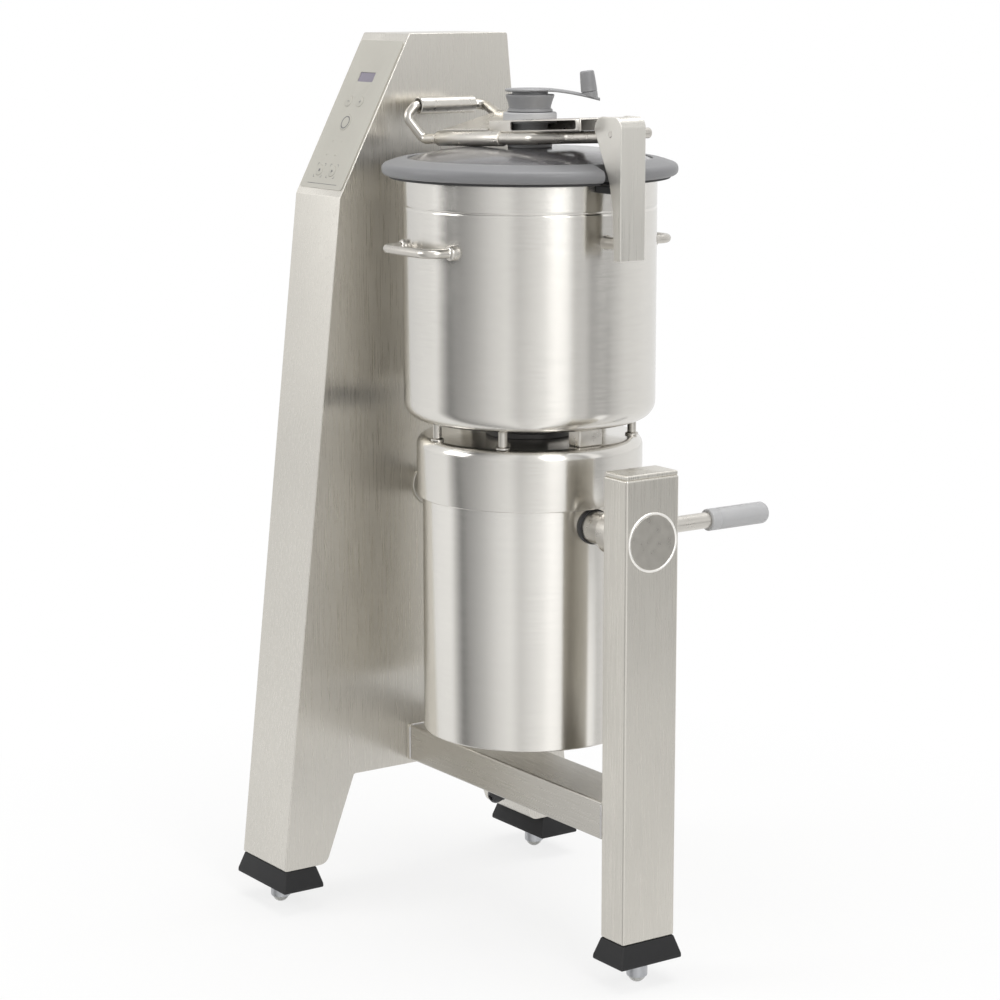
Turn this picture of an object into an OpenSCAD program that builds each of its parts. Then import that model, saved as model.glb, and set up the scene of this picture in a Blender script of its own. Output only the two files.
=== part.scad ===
// Vertical cutter mixer: a lidded bowl on a tilting motor barrel, carried between a column and a post.
// Millimetres. +Z is up, -Y is the operator's side, +X runs from the column to the post.
// The origin is on the floor, below the middle of the machine.

/* [Column] */
// Height of the column's top above the floor
total_h = 1250; // [1220:5:1300]
// Thickness of the column from left to right
column_t = 120; // [110:1:140]
// Distance from the bowl's axis to the column's inner face
column_gap = 246.5; // [242:0.5:262]
// Reach of the front leg's toe in front of the pivot
column_front = 255; // [246:1:275]
// Reach of the rear leg's heel behind the pivot
column_back = 251; // [242:1:271]
// Reach of the control face's lower end
panel_foot_y = 149; // [140:1:160]
// Height of the control face, from its lower end to the column's top
panel_rise = 224; // [215:1:240]
// Reach of the column's top in front of the pivot
top_front = 32; // [25:1:45]
// Reach of the column's top behind the pivot
top_back = 135; // [120:1:150]
// Width of each leg at its foot
leg_w = 71; // [66:1:78]
// Half the width of the arch between the legs, at its top
arch_half = 136; // [120:1:145]
// Height of the arch between the legs
arch_z = 191.5; // [180:0.5:194]
// Radius of the leg's inner toe
toe_r = 16; // [8:1:20]
// Sheet thickness of the column
sheet = 2; // [1.5:0.5:3]

/* [Beam and post] */
// Height of the beam's underside
beam_z = 199; // [195:1:215]
// Height of the beam's section
beam_h = 52; // [40:1:56]
// Distance from the bowl's axis to the post's inner face
post_gap = 226; // [224:1:240]
// Thickness of the post from left to right
post_t = 50; // [45:1:60]
// Width of the beam and the post from front to back
post_w = 86; // [80:1:96]
// Height of the post's top cap
post_top = 698; // [680:1:720]
// Wall of the beam and the post
tube_wall = 3; // [2:0.5:4]
// Radius of the round pivot cover on the post
pivot_cover_r = 39.8; // [36:0.2:40]

/* [Feet] */
// Radius of the caster balls
ball_r = 12.5; // [11:0.5:14]
// Clearance between the floor and the rubber feet
foot_clear = 33; // [30:1:38]
// Height of the rubber feet
foot_h = 31; // [28:1:36]
// Flare of the rubber feet on each side
foot_flare = 8; // [4:1:10]
// Width of the column's rubber feet at the top, from front to back
foot_w = 51; // [46:1:56]
// Reach of the column's feet, centre to centre, from the pivot
foot_y = 227.5; // [222:0.5:232]

/* [Control panel] */
// Width of the panel plate
panel_w = 112; // [106:1:116]
// Clearance between the panel plate and the upper end of the control face
panel_end = 12.7; // [8:0.1:18]
// Radius of the small keys
key_r = 8; // [6:0.5:9]
// Radius of the pulse key
pulse_r = 12; // [9:0.5:13]
// Travel of every key
key_travel = 0.8; // [0.4:0.1:1]
// Width of the display window
display_w = 40; // [36:1:44]
// Height of the display window
display_h = 15; // [12:1:18]

/* [Motor unit] */
// Height of the tilting axis above the floor
pivot_z = 607; // [600:1:612]
// Outer radius of the motor barrel
barrel_r = 146.7; // [144:0.1:150]
// Height of the barrel's lower end
barrel_z = 302; // [296:1:310]
// Height of the seam between barrel and collar
seam_z = 631; // [630:1:634]
// Step from the barrel's radius out to the collar's
collar_step = 8.2; // [6:0.1:11]
// Height of the collar's top
collar_top = 714; // [705:1:720]
// Radius of the collar's shoulder
shoulder_r = 14; // [8:1:18]
// Wall of the barrel and the collar
barrel_wall = 2.5; // [2:0.5:4]
// Radius of the trunnion bosses
boss_r = 21.7; // [20:0.1:22]
// Radius of the trunnion journals
journal_r = 17.5; // [15:0.5:18]
// Radius of the drive shaft in its bearings
shaft_r = 15; // [14.5:0.5:16]
// Radius of the drive shaft in the cutter
spindle_r = 14; // [12:0.5:14]
// Outer radius of the stator core
stator_r = 96; // [90:1:98]
// Radius of the rotor
rotor_r = 59.5; // [50:0.5:59.5]
// Height of the stator core
core_h = 150; // [120:5:160]

/* [Tilt lever] */
// Distance from the bowl's axis to the lever's plane
lever_x = 200; // [198:1:204]
// Radius of the lever's rod
lever_r = 11; // [9:0.5:12]
// Radius of the lever's grip
grip_r = 15; // [13:0.5:18]
// Distance from the pivot to the near end of the grip
grip_from = 152; // [140:1:160]
// Distance from the pivot to the far end of the grip
grip_to = 253; // [240:1:258]

/* [Bowl] */
// Outer radius of the bowl
bowl_r = 171.8; // [168:0.1:174]
// Wall of the bowl
bowl_wall = 2; // [1.5:0.5:3]
// Height of the bowl's underside
bowl_z = 738; // [734:1:745]
// Height of the bowl's rim
rim_z = 1063; // [1055:0.1:1063.2]
// Radius of the bowl's bottom edge
bowl_corner = 24; // [14:1:30]
// Height of the groove round the bowl
groove_z = 1026; // [1015:1:1035]
// Outer radius of the chimney in the bowl
chimney_r = 28; // [27:0.5:29]
// Height of the chimney's top
chimney_top = 888; // [860:1:890]
// Height of the bowl handles
handle_z = 974; // [950:1:985]
// Half the width of a bowl handle, between its rod centres
handle_half = 57; // [45:1:62]
// Reach of a bowl handle beyond the bowl's wall
handle_reach = 35; // [30:1:45]
// Radius of the bowl handles' rod
handle_r = 6; // [5:0.5:7]

/* [Cutter] */
// Outer radius of the cutter's hub
hub_r = 40; // [38:0.5:44]
// Reach of the cutter's blades
blade_reach = 152; // [130:1:158]
// Thickness of the blades
blade_t = 4; // [3:0.5:5]

/* [Lid] */
// Outer radius of the lid ring
ring_r = 199.7; // [196:0.1:200]
// Height of the lid ring's underside
ring_z = 1066.8; // [1066.8:0.1:1068]
// Height of the lid ring's top
ring_top = 1090; // [1088:0.5:1091]
// Inner radius of the lid ring
ring_in = 162; // [158:1:166]
// Height of the dome's crown
dome_top = 1103; // [1102:0.5:1104]
// Rise of the dome from its edge to its crown
dome_rise = 15.5; // [14:0.5:16]
// Thickness of the dome
dome_t = 3; // [2:0.5:4]

/* [Lid arm] */
// Distance from the bowl's axis to the hinge pin
pin_x = 205; // [203:0.5:206]
// Height of the hinge pin
pin_z = 1130; // [1129:0.5:1131]
// Slope of the lid arm, down from the hinge
arm_tilt = 3.2; // [3:0.1:3.4]
// Radius of the arm's tubes
arm_r = 8; // [7:0.5:8]
// Radius of the arm's ferrules
ferrule_r = 10.5; // [9:0.5:10.5]
// Half the distance between the arm's tubes
arm_half = 40; // [38:1:42]
// Height of the yoke above the arm's line
yoke_h = 21.5; // [20:0.5:22]
// Radius of the D-handle's rod
loop_r = 7; // [6:0.5:7]
// Radius of the loose sleeve
sleeve_r = 12; // [11:0.5:13]
// Half the width of the hinge bracket
bracket_half = 20; // [19:0.5:21]
// Distance from the bowl's axis to the bracket's outer face
bracket_x = 228; // [226:0.5:230]
// Height of the bracket's lower end
bracket_z = 968; // [950:1:975]
// Height of the bracket's top
bracket_top = 1152; // [1149:0.5:1152]

/* [Crank] */
// Direction of the crank, counted from +X
crank_angle = 50; // [0:1:90]
// Radius at which the crank's knob stands
crank_reach = 80; // [70:1:90]
// Height of the crank's top face
crank_z = 1181; // [1178:1:1186]
// Length of the crank's knob
knob_h = 28; // [24:1:34]
// Lean of the knob towards the hub
knob_lean = 7; // [0:1:10]
// Direction of the wiper, counted from +X
wiper_angle = -29; // [-60:1:60]

/* [Hidden] */
$fn = 96;
arc_steps = 6;
bend_steps = 4;
rod_sides = 20;
// Overrun of every cut
cut = 1;
// Radial clearance of running fits
run_fit = 0.05;
// Clearance between parts that lie against each other on different bodies
rest_gap = 0.3;
// Clearance between a cover and the opening that it fills
cover_gap = 0.25;

// Places that follow from the driving dimensions
leg_z = foot_clear + foot_h;
panel_foot_z = total_h - panel_rise;
axis_x = (column_gap + column_t - post_gap - post_t) / 2;
panel_run = norm([panel_foot_y - top_front, panel_rise]);
panel_slope = atan((panel_foot_y - top_front) / panel_rise);
leg_slope = atan((column_back - leg_w - arch_half) / (arch_z - leg_z));
collar_r = barrel_r + collar_step;
column_mid = column_gap + column_t / 2;
post_mid = post_gap + post_t / 2;

// Small sizes of the column
lip_w = 14;
lip_t = 2;
screw_r = 2;
screw_head_r = 4.5;
screw_head_t = 1.8;
vent_l = 46;
vent_h = 4;
vent_pitch = 12;
vent_count = 9;
vent_low = 40;
stiffener_t = 6;
stiffener_w = 150;
stiffener_over = 80;
gland_r = 11;
gland_bore = 5;
gland_out = 24;
gland_in = 10;
gland_up = 34;
gland_nut_r = 14;
gland_nut_t = 6;

// Small sizes of the panel, its keys and its board
panel_t = 1.2;
panel_side = 4;
panel_start = 10;
panel_l = panel_run - panel_start - panel_end;
window_rim = 8;
key_proud = 0.6;
key_fit = 0.25;
key_flange = 1.5;
key_flange_t = 1.2;
board_depth = 9;
board_t = 1.6;
board_rim = 6;
standoff_r = 3;
display_t = 1.6;
key_left = 20.5;
key_right = 9.5;
pulse_left = 5.5;
start_right = 13.5;
time_row = 144.5;
pulse_row = 112;
start_row = 37;
display_up = 183;
display_left = -1;

// Small sizes of the drive unit
drive_depth = 80;
drive_half = 62;
drive_l = 190;
fin_count = 9;
fin_t = 3;
fin_deep = 14;
fin_rim = 5;

// Small sizes of the pivot
bush_r = 24;
bush_flange_r = 32;
bush_flange_t = 3;
bush_l = 16;
journal_end = 8;
seat_r = 18;
seat_fit = 0.05;
boss_end = 13;
seal_w = 2.2;
seal_t = 4;
cable_bore = 9;

// Small sizes of the beam, the post and the feet
flange_t = 6;
cap_t = 6;
cap_step = 1;
cover_t = 1.5;
cover_ring = 2;
cover_spigot = 6;
spigot_step = 6;
cup_wall = 1.7;
cup_low = 9;
cup_up = 50;
cup_fit = 0.05;
stem_r = 6;
stem_over = 10;
nut_r = 10;
nut_t = 8;

// Small sizes of the motor
ledge_t = 3;
hub_hole_r = 22;
slot_count = 24;
slot_w = 5;
slot_in = 62;
slot_rim = 14;
frame_wall = 12;
frame_low = 345;
frame_flange = 44;
frame_rest = 2;
bearing_r = 31;
bearing_h = 16;
bearing_lip = 7;
web_under = 8;
shield_t = 8;
shield_hub = 6;
core_low = 390;
winding_h = 18;
winding_rim = 3;
fan_low = 320;
fan_h = 15;
fan_r = 90;
fan_hub = 25;
fan_blades = 9;
fan_blade_t = 2;
shaft_low = 316;
shaft_step = 640;
shaft_top = 905;
boss_disc_r = 60;
boss_disc_t = 8;
boss_lip = 9;
boss_cone_r = 30;
boss_cone_z = 9;
seal_lip = 0.5;
nose_up = 14;

// Small sizes of the tilt lever
lever_hub_r = 30;
lever_hub_t = 22;
lever_in = 14;

// Small sizes of the bowl's supports
stud_r = 6;
stud_ring = 140;
stud_angles = [-98, -50, 50, 98];
lug_ring = 128;
lug_w = 38;
lug_d = 26;

// Small sizes of the bowl
groove_w = 3;
groove_deep = 0.6;
handle_bend = 20;
pad_r = 10;
pad_t = 5;
bracket_t = 2;
bracket_bend = 14;
cheek_low = 13;
cheek_mid = 17;
cheek_neck = 24;
cheek_top = 57;
cheek_round = 18;
cheek_flare = 36;
pin_r = 5;
pin_head_r = 7;
pin_head_l = 24;
pad_h = 9;
pad_under = 0.7;
spacer_r = 8;
spacer_up = 20;

// Small sizes of the cutter
hub_inner = 31;
hub_low = 746;
socket_low = 893;
socket_deep = 15;
hub_shoulder = 915;
hub_neck_z = 925;
hub_chamfer = 10;
cap_r = 22;
cap_top_r = 17;
hub_top = 945;
root_w = 8;
blade_low = 752;
blade_pitch = 49;
sickle_bite = 30;
sickle_grow = 6;
blade_count = 3;

// Small sizes of the lid
ring_corner = 4;
ring_under = 7;
ring_round = 8;
ring_slope = 6;
ring_flat = 7;
rebate_r = 3;
seal_in = 1;
seal_over = 28;
seal_h = 3.5;
notch_half = 22.5;
notch_x = 174;
lid_bore = 14;
lid_shaft_r = 10;
hub_flange_r = 30;
hub_flange_t = 5;
stem_outer = 24;
hub_nut_r = 22;
hub_nut_t = 5;
collar_ring_r = 36;
collar_ring_z = 1150;
eye_r = 10;

// Small sizes of the arm, in its own frame: along it from the pin, and above its line
arm_near = 35;
arm_bend = 99;
arm_wide = 145;
arm_in = 12;
arm_eye_y = 9;
tube_drop = 3.5;
front_end = 365;
front_rise = 1;
ferrule_end = 212;
rear_drop_end = 165;
rear_mid = 243;
rear_mid_z = 18;
rear_end = 335;
rear_end_z = 25.5;
saddle_end = 353;
saddle_end_z = 27;
loop_low = 401;
loop_low_y = 42;
loop_low_z = 1.6;
loop_side = 412;
loop_side_y = 62;
loop_side_z = 30;
sleeve_x = 408;
sleeve_z = 44.8;
loop_turn_y = 50;
loop_far_y = 66;
loop_in = 8;
loop_bends = [10, 10, 10, 14];
tube_bend = 14;
sleeve_half = 46;
sleeve_recess = 6;
sleeve_recess_r = 9.6;
yoke_from = 243;
yoke_to = 36;
yoke_low = 4.5;
yoke_wall = 2;
yoke_rear = 31.5;
window_from = 192;
window_to = 45;
window_top = 2;
window_low = 3;
window_r = 4;
saddle_t = 2.4;

// Small sizes of the crank, its knob and the wiper
neck_r = 28;
neck_z = 1155;
skirt_r = 31;
flare_r = 33;
flare_z = 1173;
gap_r = 24;
plate_t = 4;
plate_r = 34;
crank_tip = 94;
crank_w = 17;
crank_hub_w = 26;
crank_drop = 12;
crank_steps = 10;
knob_r = 11;
knob_top_r = 9.5;
knob_edge = 2.5;
knob_seat = 4.4;
knob_pin_r = 3;
knob_pin_l = 12;
wiper_boss_r = 14;
wiper_boss_h = 9;
wiper_t = 9;
wiper_reach = 150;
wiper_depth = 12;
wiper_gap = 1.5;

// Outline helpers
function unit(v) = v / norm(v);

// Moves each side of a clockwise outline inwards
function inset(p, d) = [
  for (i = [0 : len(p) - 1])
    let (a = p[(i + len(p) - 1) % len(p)], b = p[i], c = p[(i + 1) % len(p)])
    let (u = unit(b - a), v = unit(c - b))
    let (m = [u.y, -u.x], n = [v.y, -v.x])
    b + (m + n) * d / (1 + m * n)
];

// Rounds the corner b between a and c
function round_corner(a, b, c, r) =
  let (u = unit(a - b), v = unit(c - b))
  let (half = acos(u * v) / 2, turn = 180 - 2 * half)
  let (m = b + unit(u + v) * r / sin(half))
  let (p = b + u * r / tan(half) - m, q = b + v * r / tan(half) - m)
  [for (k = [0 : arc_steps])
    m + (p * sin(turn * (1 - k / arc_steps)) + q * sin(turn * k / arc_steps)) / sin(turn)];

// Rounds every corner whose radius isn't zero
function rounded(p, radii) = [
  for (i = [0 : len(p) - 1])
    each radii[i] > 0
      ? round_corner(p[(i + len(p) - 1) % len(p)], p[i], p[(i + 1) % len(p)], radii[i])
      : [p[i]]
];

// Points of an arc about the centre c
function arc(c, r, from, to) = [
  for (k = [0 : 2 * arc_steps])
    let (w = from + (to - from) * k / (2 * arc_steps))
    c + r * [cos(w), sin(w)]
];

// The column's outline, seen from the post's side: y to the right, z up
column_outline = [
  [-column_front, leg_z],
  [-panel_foot_y, panel_foot_z],
  [-top_front, total_h],
  [top_back, total_h],
  [column_back, leg_z],
  [column_back - leg_w, leg_z],
  [arch_half, arch_z],
  [-arch_half, arch_z],
  [-column_front + leg_w, leg_z]
];

function toes(r) = [0, 0, 0, 0, 0, r, 0, 0, r];
function column_shape(d) = rounded(inset(column_outline, d), toes(toe_r - d));

// The screws stand at the outline's corners and halfway along its long sides
screw_line = inset(column_outline, sheet + lip_w / 2);
screw_points = concat(
  screw_line,
  [for (i = [0, 1, 3]) (screw_line[i] + screw_line[(i + 1) % len(screw_line)]) / 2]
);

// Height of the dome's outer face at a radius
function dome_z(r) = dome_top - dome_rise * pow(r / (ring_in + rebate_r), 4);

// Height of the crank's top face at a radius
function crank_face(r) = crank_z - crank_drop * pow(max(r - neck_r, 0) / (crank_tip - neck_r), 1.5);

// Moves from the bowl's axis to the machine's frame
module on_axis() {
  translate([axis_x, 0, 0])
    children();
}

// An outline in y and z, drawn from x to the right by t
module across(x, t) {
  translate([x, 0, 0])
    rotate([90, 0, 90])
      linear_extrude(t)
        children();
}

// An outline in x and z, drawn from y to the rear by t
module along_y(y, t) {
  translate([0, y + t, 0])
    rotate([90, 0, 0])
      linear_extrude(t)
        children();
}

// A cylinder along x from x0 to x1
module bar_x(x0, x1, r) {
  translate([x0, 0, 0])
    rotate([0, 90, 0])
      cylinder(h = x1 - x0, r = r);
}

// A cylinder along y from y0 to y1
module bar_y(y0, y1, r) {
  translate([0, y1, 0])
    rotate([90, 0, 0])
      cylinder(h = y1 - y0, r = r);
}

// A round bar between two points
module rod(a, b, r) {
  facing(a, b - a)
    cylinder(h = norm(b - a), r = r);
}

// Stands on a point and faces along a direction
module facing(p, d) {
  translate(p)
    rotate([0, acos(d.z / norm(d)), atan2(d.y, d.x)])
      children();
}

// Places and directions round the corner p, from the way u to the way v
function elbow(p, u, v, bend) =
  let (turn = acos(u * v), n = unit(v - u * (u * v)))
  let (c = p - u * bend * tan(turn / 2) + n * bend)
  [for (k = [0 : bend_steps])
    let (w = turn * k / bend_steps)
    [c + (u * sin(w) - n * cos(w)) * bend, u * cos(w) + n * sin(w)]];

// Places and directions along a bar through the points, rounded at each inner one
function bent_line(points, bend) =
  let (last = len(points) - 1)
  let (ways = [for (i = [0 : last - 1]) unit(points[i + 1] - points[i])])
  [
    [points[0], ways[0]],
    for (i = [1 : last - 1])
      each elbow(points[i], ways[i - 1], ways[i], is_list(bend) ? bend[i - 1] : bend),
    [points[last], ways[last - 1]]
  ];

// The part of a vector that is square to a direction
function square_to(s, d) = unit(s - d * (s * d));

// A bar of many sides through the points, turned no more than its bends need
module bent_rod(points, r, bend) {
  line = bent_line(points, bend);
  rings = len(line);
  sides = [
    for (i = 0, s = square_to([0, 0, 1], line[0][1]); i < rings;
      i = i + 1, s = i < rings ? square_to(s, line[i][1]) : s) s
  ];
  polyhedron(
    points = [
      for (i = [0 : rings - 1], j = [0 : rod_sides - 1])
        let (w = 360 * j / rod_sides)
        line[i][0] + (sides[i] * cos(w) + cross(line[i][1], sides[i]) * sin(w)) * r
    ],
    faces = [
      [for (j = [0 : rod_sides - 1]) j],
      [for (j = [rod_sides - 1 : -1 : 0]) (rings - 1) * rod_sides + j],
      for (i = [0 : rings - 2], j = [0 : rod_sides - 1])
        let (a = i * rod_sides + j, b = i * rod_sides + (j + 1) % rod_sides)
        each [[a, b + rod_sides, b], [a, a + rod_sides, b + rod_sides]]
    ]
  );
}

// The control face's own frame: x to the right, y up the face, z out of it
module on_panel() {
  translate([-column_mid, -panel_foot_y, panel_foot_z])
    rotate([90 - panel_slope, 0, 0])
      children();
}

// The arm's own frame at the hinge pin
module on_arm() {
  translate([pin_x, 0, pin_z])
    rotate([0, -arm_tilt, 0])
      children();
}

module ring(r_in, r_out, z, h) {
  rotate_extrude()
    translate([r_in, z])
      square([r_out - r_in, h]);
}

// Column

module column_casing() on_axis() color([0.78, 0.77, 0.74]) {
  left = -column_gap - column_t;
  difference() {
    union() {
      difference() {
        across(left, column_t)
          polygon(column_shape(0));
        across(left - cut, column_t - sheet + cut)
          polygon(column_shape(sheet));
      }
      across(left + sheet, lip_t)
        difference() {
          polygon(column_shape(sheet));
          polygon(column_shape(sheet + lip_w));
        }
    }
    translate([0, 0, pivot_z])
      bar_x(-column_gap - sheet - cut, -column_gap + cut, bush_r + seat_fit);
    for (p = screw_points)
      translate([0, p.x, p.y])
        bar_x(left - cut, left + sheet + lip_t + cut, screw_r);
    on_panel()
      translate([-panel_w / 2 + window_rim, panel_start + window_rim, -sheet - cut])
        cube([panel_w - 2 * window_rim, panel_l - 2 * window_rim, sheet + 2 * cut]);
    on_gland()
      translate([0, 0, -sheet - cut])
        cylinder(h = sheet + 2 * cut, r = gland_r);
    for (side = [-1, 1])
      translate([-column_mid, side * foot_y, leg_z - cut])
        cylinder(h = sheet + 2 * cut, r = stem_r + cup_fit);
  }
}

module side_cover() on_axis() color([0.76, 0.75, 0.72])
  difference() {
    across(-column_gap - column_t, sheet)
      polygon(column_shape(sheet + cover_gap));
    for (p = screw_points)
      translate([0, p.x, p.y])
        bar_x(-column_gap - column_t - cut, -column_gap - column_t + sheet + cut, screw_r);
    for (i = [0 : vent_count - 1], level = [arch_z + vent_low, pivot_z + stiffener_over])
      translate([-column_gap - column_t - cut, -vent_l / 2, level + i * vent_pitch])
        cube([sheet + 2 * cut, vent_l, vent_h]);
  }

module cover_screws() on_axis() color([0.7, 0.7, 0.7])
  for (p = screw_points)
    translate([0, p.x, p.y]) {
      bar_x(-column_gap - column_t, -column_gap - column_t + sheet + lip_t, screw_r - seat_fit);
      bar_x(-column_gap - column_t - screw_head_t, -column_gap - column_t, screw_head_r);
    }

module stiffener_plate() on_axis() color([0.5, 0.52, 0.55])
  difference() {
    translate([-column_gap - sheet - stiffener_t, -stiffener_w / 2, arch_z + lip_w])
      cube([stiffener_t, stiffener_w, pivot_z + stiffener_over + drive_l - arch_z]);
    translate([0, 0, pivot_z])
      bar_x(-column_gap - sheet - stiffener_t - cut, -column_gap, bush_r + seat_fit);
  }

module key_holes(extra) {
  for (p = key_places)
    translate([p.x, p.y, -panel_t])
      cylinder(h = 3 * panel_t, r = p.z + extra);
}

key_places = [
  [-key_left, time_row, key_r],
  [key_right, time_row, key_r],
  [-pulse_left, pulse_row, pulse_r],
  [-key_left, start_row, key_r],
  [start_right, start_row, key_r]
];

module control_panel() on_axis() color([0.77, 0.76, 0.73])
  on_panel()
    difference() {
      translate([-panel_w / 2, panel_start, 0])
        cube([panel_w, panel_l, panel_t]);
      key_holes(key_fit);
      translate([display_left - display_w / 2, display_up - display_h / 2, -cut])
        cube([display_w, display_h, panel_t + 2 * cut]);
    }

module display_window() on_axis() color([0.42, 0.4, 0.46])
  on_panel()
    translate([display_left, display_up, panel_t - display_t]) {
      translate([-display_w / 2 + seat_fit, -display_h / 2 + seat_fit, 0])
        cube([display_w - 2 * seat_fit, display_h - 2 * seat_fit, display_t]);
      translate([-display_w / 2 - panel_side, -display_h / 2 - panel_side, -display_t])
        cube([display_w + 2 * panel_side, display_h + 2 * panel_side, display_t]);
    }

module control_board() on_axis() color([0.12, 0.35, 0.2])
  on_panel() {
    half = panel_w / 2 - window_rim - board_rim;
    low = panel_start + window_rim + board_rim;
    high = panel_start + panel_l - window_rim - board_rim;
    translate([-half, low, -board_depth - board_t])
      cube([2 * half, high - low, board_t]);
    for (x = [-half + board_rim, half - board_rim], y = [low + board_rim, high - board_rim])
      translate([x, y, -board_depth])
        cylinder(h = board_depth, r = standoff_r);
  }

module panel_key(i) on_axis() color([0.74, 0.73, 0.7])
  on_panel()
    translate([key_places[i].x, key_places[i].y, 0]) {
      translate([0, 0, -rest_gap - key_flange_t])
        cylinder(h = rest_gap + key_flange_t + panel_t + key_proud, r = key_places[i].z);
      translate([0, 0, -rest_gap - key_flange_t])
        cylinder(h = key_flange_t, r = key_places[i].z + key_flange);
      translate([0, 0, -board_depth + key_travel + rest_gap])
        cylinder(h = board_depth - key_travel - 2 * rest_gap, r = key_places[i].z / 2);
    }

module minus_key() panel_key(0);

module plus_key() panel_key(1);

module pulse_key() panel_key(2);

module stop_key() panel_key(3);

module start_key() panel_key(4);

module drive_unit() on_axis() color([0.25, 0.26, 0.28]) {
  right = -column_gap - sheet - stiffener_t;
  pitch = (2 * drive_half - 2 * fin_rim - fin_t) / (fin_count - 1);
  difference() {
    translate([right - drive_depth, -drive_half, pivot_z + stiffener_over])
      cube([drive_depth, 2 * drive_half, drive_l]);
    for (i = [0 : fin_count - 1])
      translate([right - drive_depth, -drive_half + fin_rim + i * pitch, pivot_z + stiffener_over])
        translate([-cut, 0, -cut])
          cube([fin_deep + cut, fin_t, drive_l + 2 * cut]);
  }
}

// The gland stands square on the rear leg's inner face: z points out of the column
module on_gland() {
  translate([-column_mid, column_back - leg_w - gland_up * tan(leg_slope), leg_z + gland_up])
    rotate([90 + leg_slope, 0, 0])
      children();
}

module cable_gland() on_axis() color([0.1, 0.1, 0.1])
  on_gland()
    difference() {
      union() {
        translate([0, 0, -sheet - gland_in])
          cylinder(h = gland_in + sheet + gland_out, r = gland_r - seat_fit);
        cylinder(h = gland_nut_t, r = gland_nut_r);
        translate([0, 0, -sheet - gland_nut_t])
          cylinder(h = gland_nut_t, r = gland_nut_r);
      }
      translate([0, 0, -sheet - gland_in - cut])
        cylinder(h = gland_in + sheet + gland_out + 2 * cut, r = gland_bore);
    }

// Pivot

module pivot_bush() {
  difference() {
    union() {
      bar_x(-bush_flange_t, 0, bush_flange_r);
      bar_x(-seat_fit, bush_l, bush_r);
    }
    bar_x(-bush_flange_t - cut, bush_l + cut, journal_r + run_fit);
  }
}

module pivot_bearings() on_axis() color([0.72, 0.55, 0.3]) {
  translate([post_gap, 0, pivot_z])
    pivot_bush();
  translate([-column_gap, 0, pivot_z])
    mirror([1, 0, 0])
      pivot_bush();
}

module trunnion(end) {
  difference() {
    union() {
      difference() {
        bar_x(barrel_r / 2, lever_x - boss_end, boss_r);
        translate([0, 0, -2 * boss_r])
          cylinder(h = 4 * boss_r, r = barrel_r);
      }
      bar_x(barrel_r - barrel_wall - frame_wall * 2, barrel_r + boss_end, seat_r);
      bar_x(lever_x - boss_end, end, journal_r);
    }
    bar_x(0, end + cut, cable_bore);
  }
}

module tilt_trunnions() on_axis() color([0.66, 0.66, 0.66])
  translate([0, 0, pivot_z]) {
    trunnion(post_gap + post_t - tube_wall - journal_end);
    mirror([1, 0, 0])
      trunnion(column_gap + sheet + stiffener_t + bush_l);
  }

module trunnion_seals() on_axis() color([0.1, 0.1, 0.1])
  translate([0, 0, pivot_z])
    for (side = [0, 1])
      mirror([side, 0, 0])
        difference() {
          bar_x(barrel_r / 2, barrel_r + seal_t, boss_r + seal_w);
          bar_x(0, barrel_r + seal_t + cut, boss_r + seat_fit);
          translate([0, 0, -pivot_z])
            cylinder(h = total_h, r = barrel_r);
        }

// Beam and post

module beam_flange() on_axis() color([0.75, 0.74, 0.71])
  translate([-column_gap, -post_w / 2, beam_z])
    cube([flange_t, post_w, beam_h]);

module base_beam() on_axis() color([0.74, 0.73, 0.7]) {
  from = -column_gap + flange_t;
  difference() {
    translate([from, -post_w / 2, beam_z])
      cube([post_gap - from, post_w, beam_h]);
    translate([from - cut, -post_w / 2 + tube_wall, beam_z + tube_wall])
      cube([post_gap - from + 2 * cut, post_w - 2 * tube_wall, beam_h - 2 * tube_wall]);
  }
}

module support_post() on_axis() color([0.76, 0.75, 0.72])
  difference() {
    translate([post_gap, -post_w / 2, leg_z])
      cube([post_t, post_w, post_top - cap_t - leg_z]);
    translate([post_gap + tube_wall, -post_w / 2 + tube_wall, leg_z + tube_wall])
      cube([post_t - 2 * tube_wall, post_w - 2 * tube_wall, post_top]);
    translate([0, 0, pivot_z]) {
      bar_x(post_gap - cut, post_gap + tube_wall + cut, bush_r + seat_fit);
      bar_x(post_gap + post_t - tube_wall - cut, post_gap + post_t + cut, pivot_cover_r - spigot_step);
    }
    translate([post_mid, 0, leg_z - cut])
      cylinder(h = tube_wall + 2 * cut, r = stem_r + cup_fit);
  }

module post_top_cap() on_axis() color([0.77, 0.76, 0.73]) {
  translate([post_gap + cap_step, -post_w / 2 + cap_step, post_top - cap_t])
    cube([post_t - 2 * cap_step, post_w - 2 * cap_step, cap_t]);
  translate([post_gap + tube_wall + cover_gap, -post_w / 2 + tube_wall + cover_gap, post_top - 2 * cap_t])
    cube([post_t - 2 * tube_wall - 2 * cover_gap, post_w - 2 * tube_wall - 2 * cover_gap, cap_t]);
}

module pivot_cover() on_axis() color([0.78, 0.77, 0.74])
  translate([post_gap + post_t, 0, pivot_z])
    difference() {
      union() {
        bar_x(0, cover_t, pivot_cover_r);
        bar_x(-tube_wall, 0, pivot_cover_r - spigot_step - cover_gap);
      }
      difference() {
        bar_x(cover_t / 2, cover_t + cut, pivot_cover_r - cover_ring);
        bar_x(0, cover_t + cut, pivot_cover_r - 2 * cover_ring);
      }
    }

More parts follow.
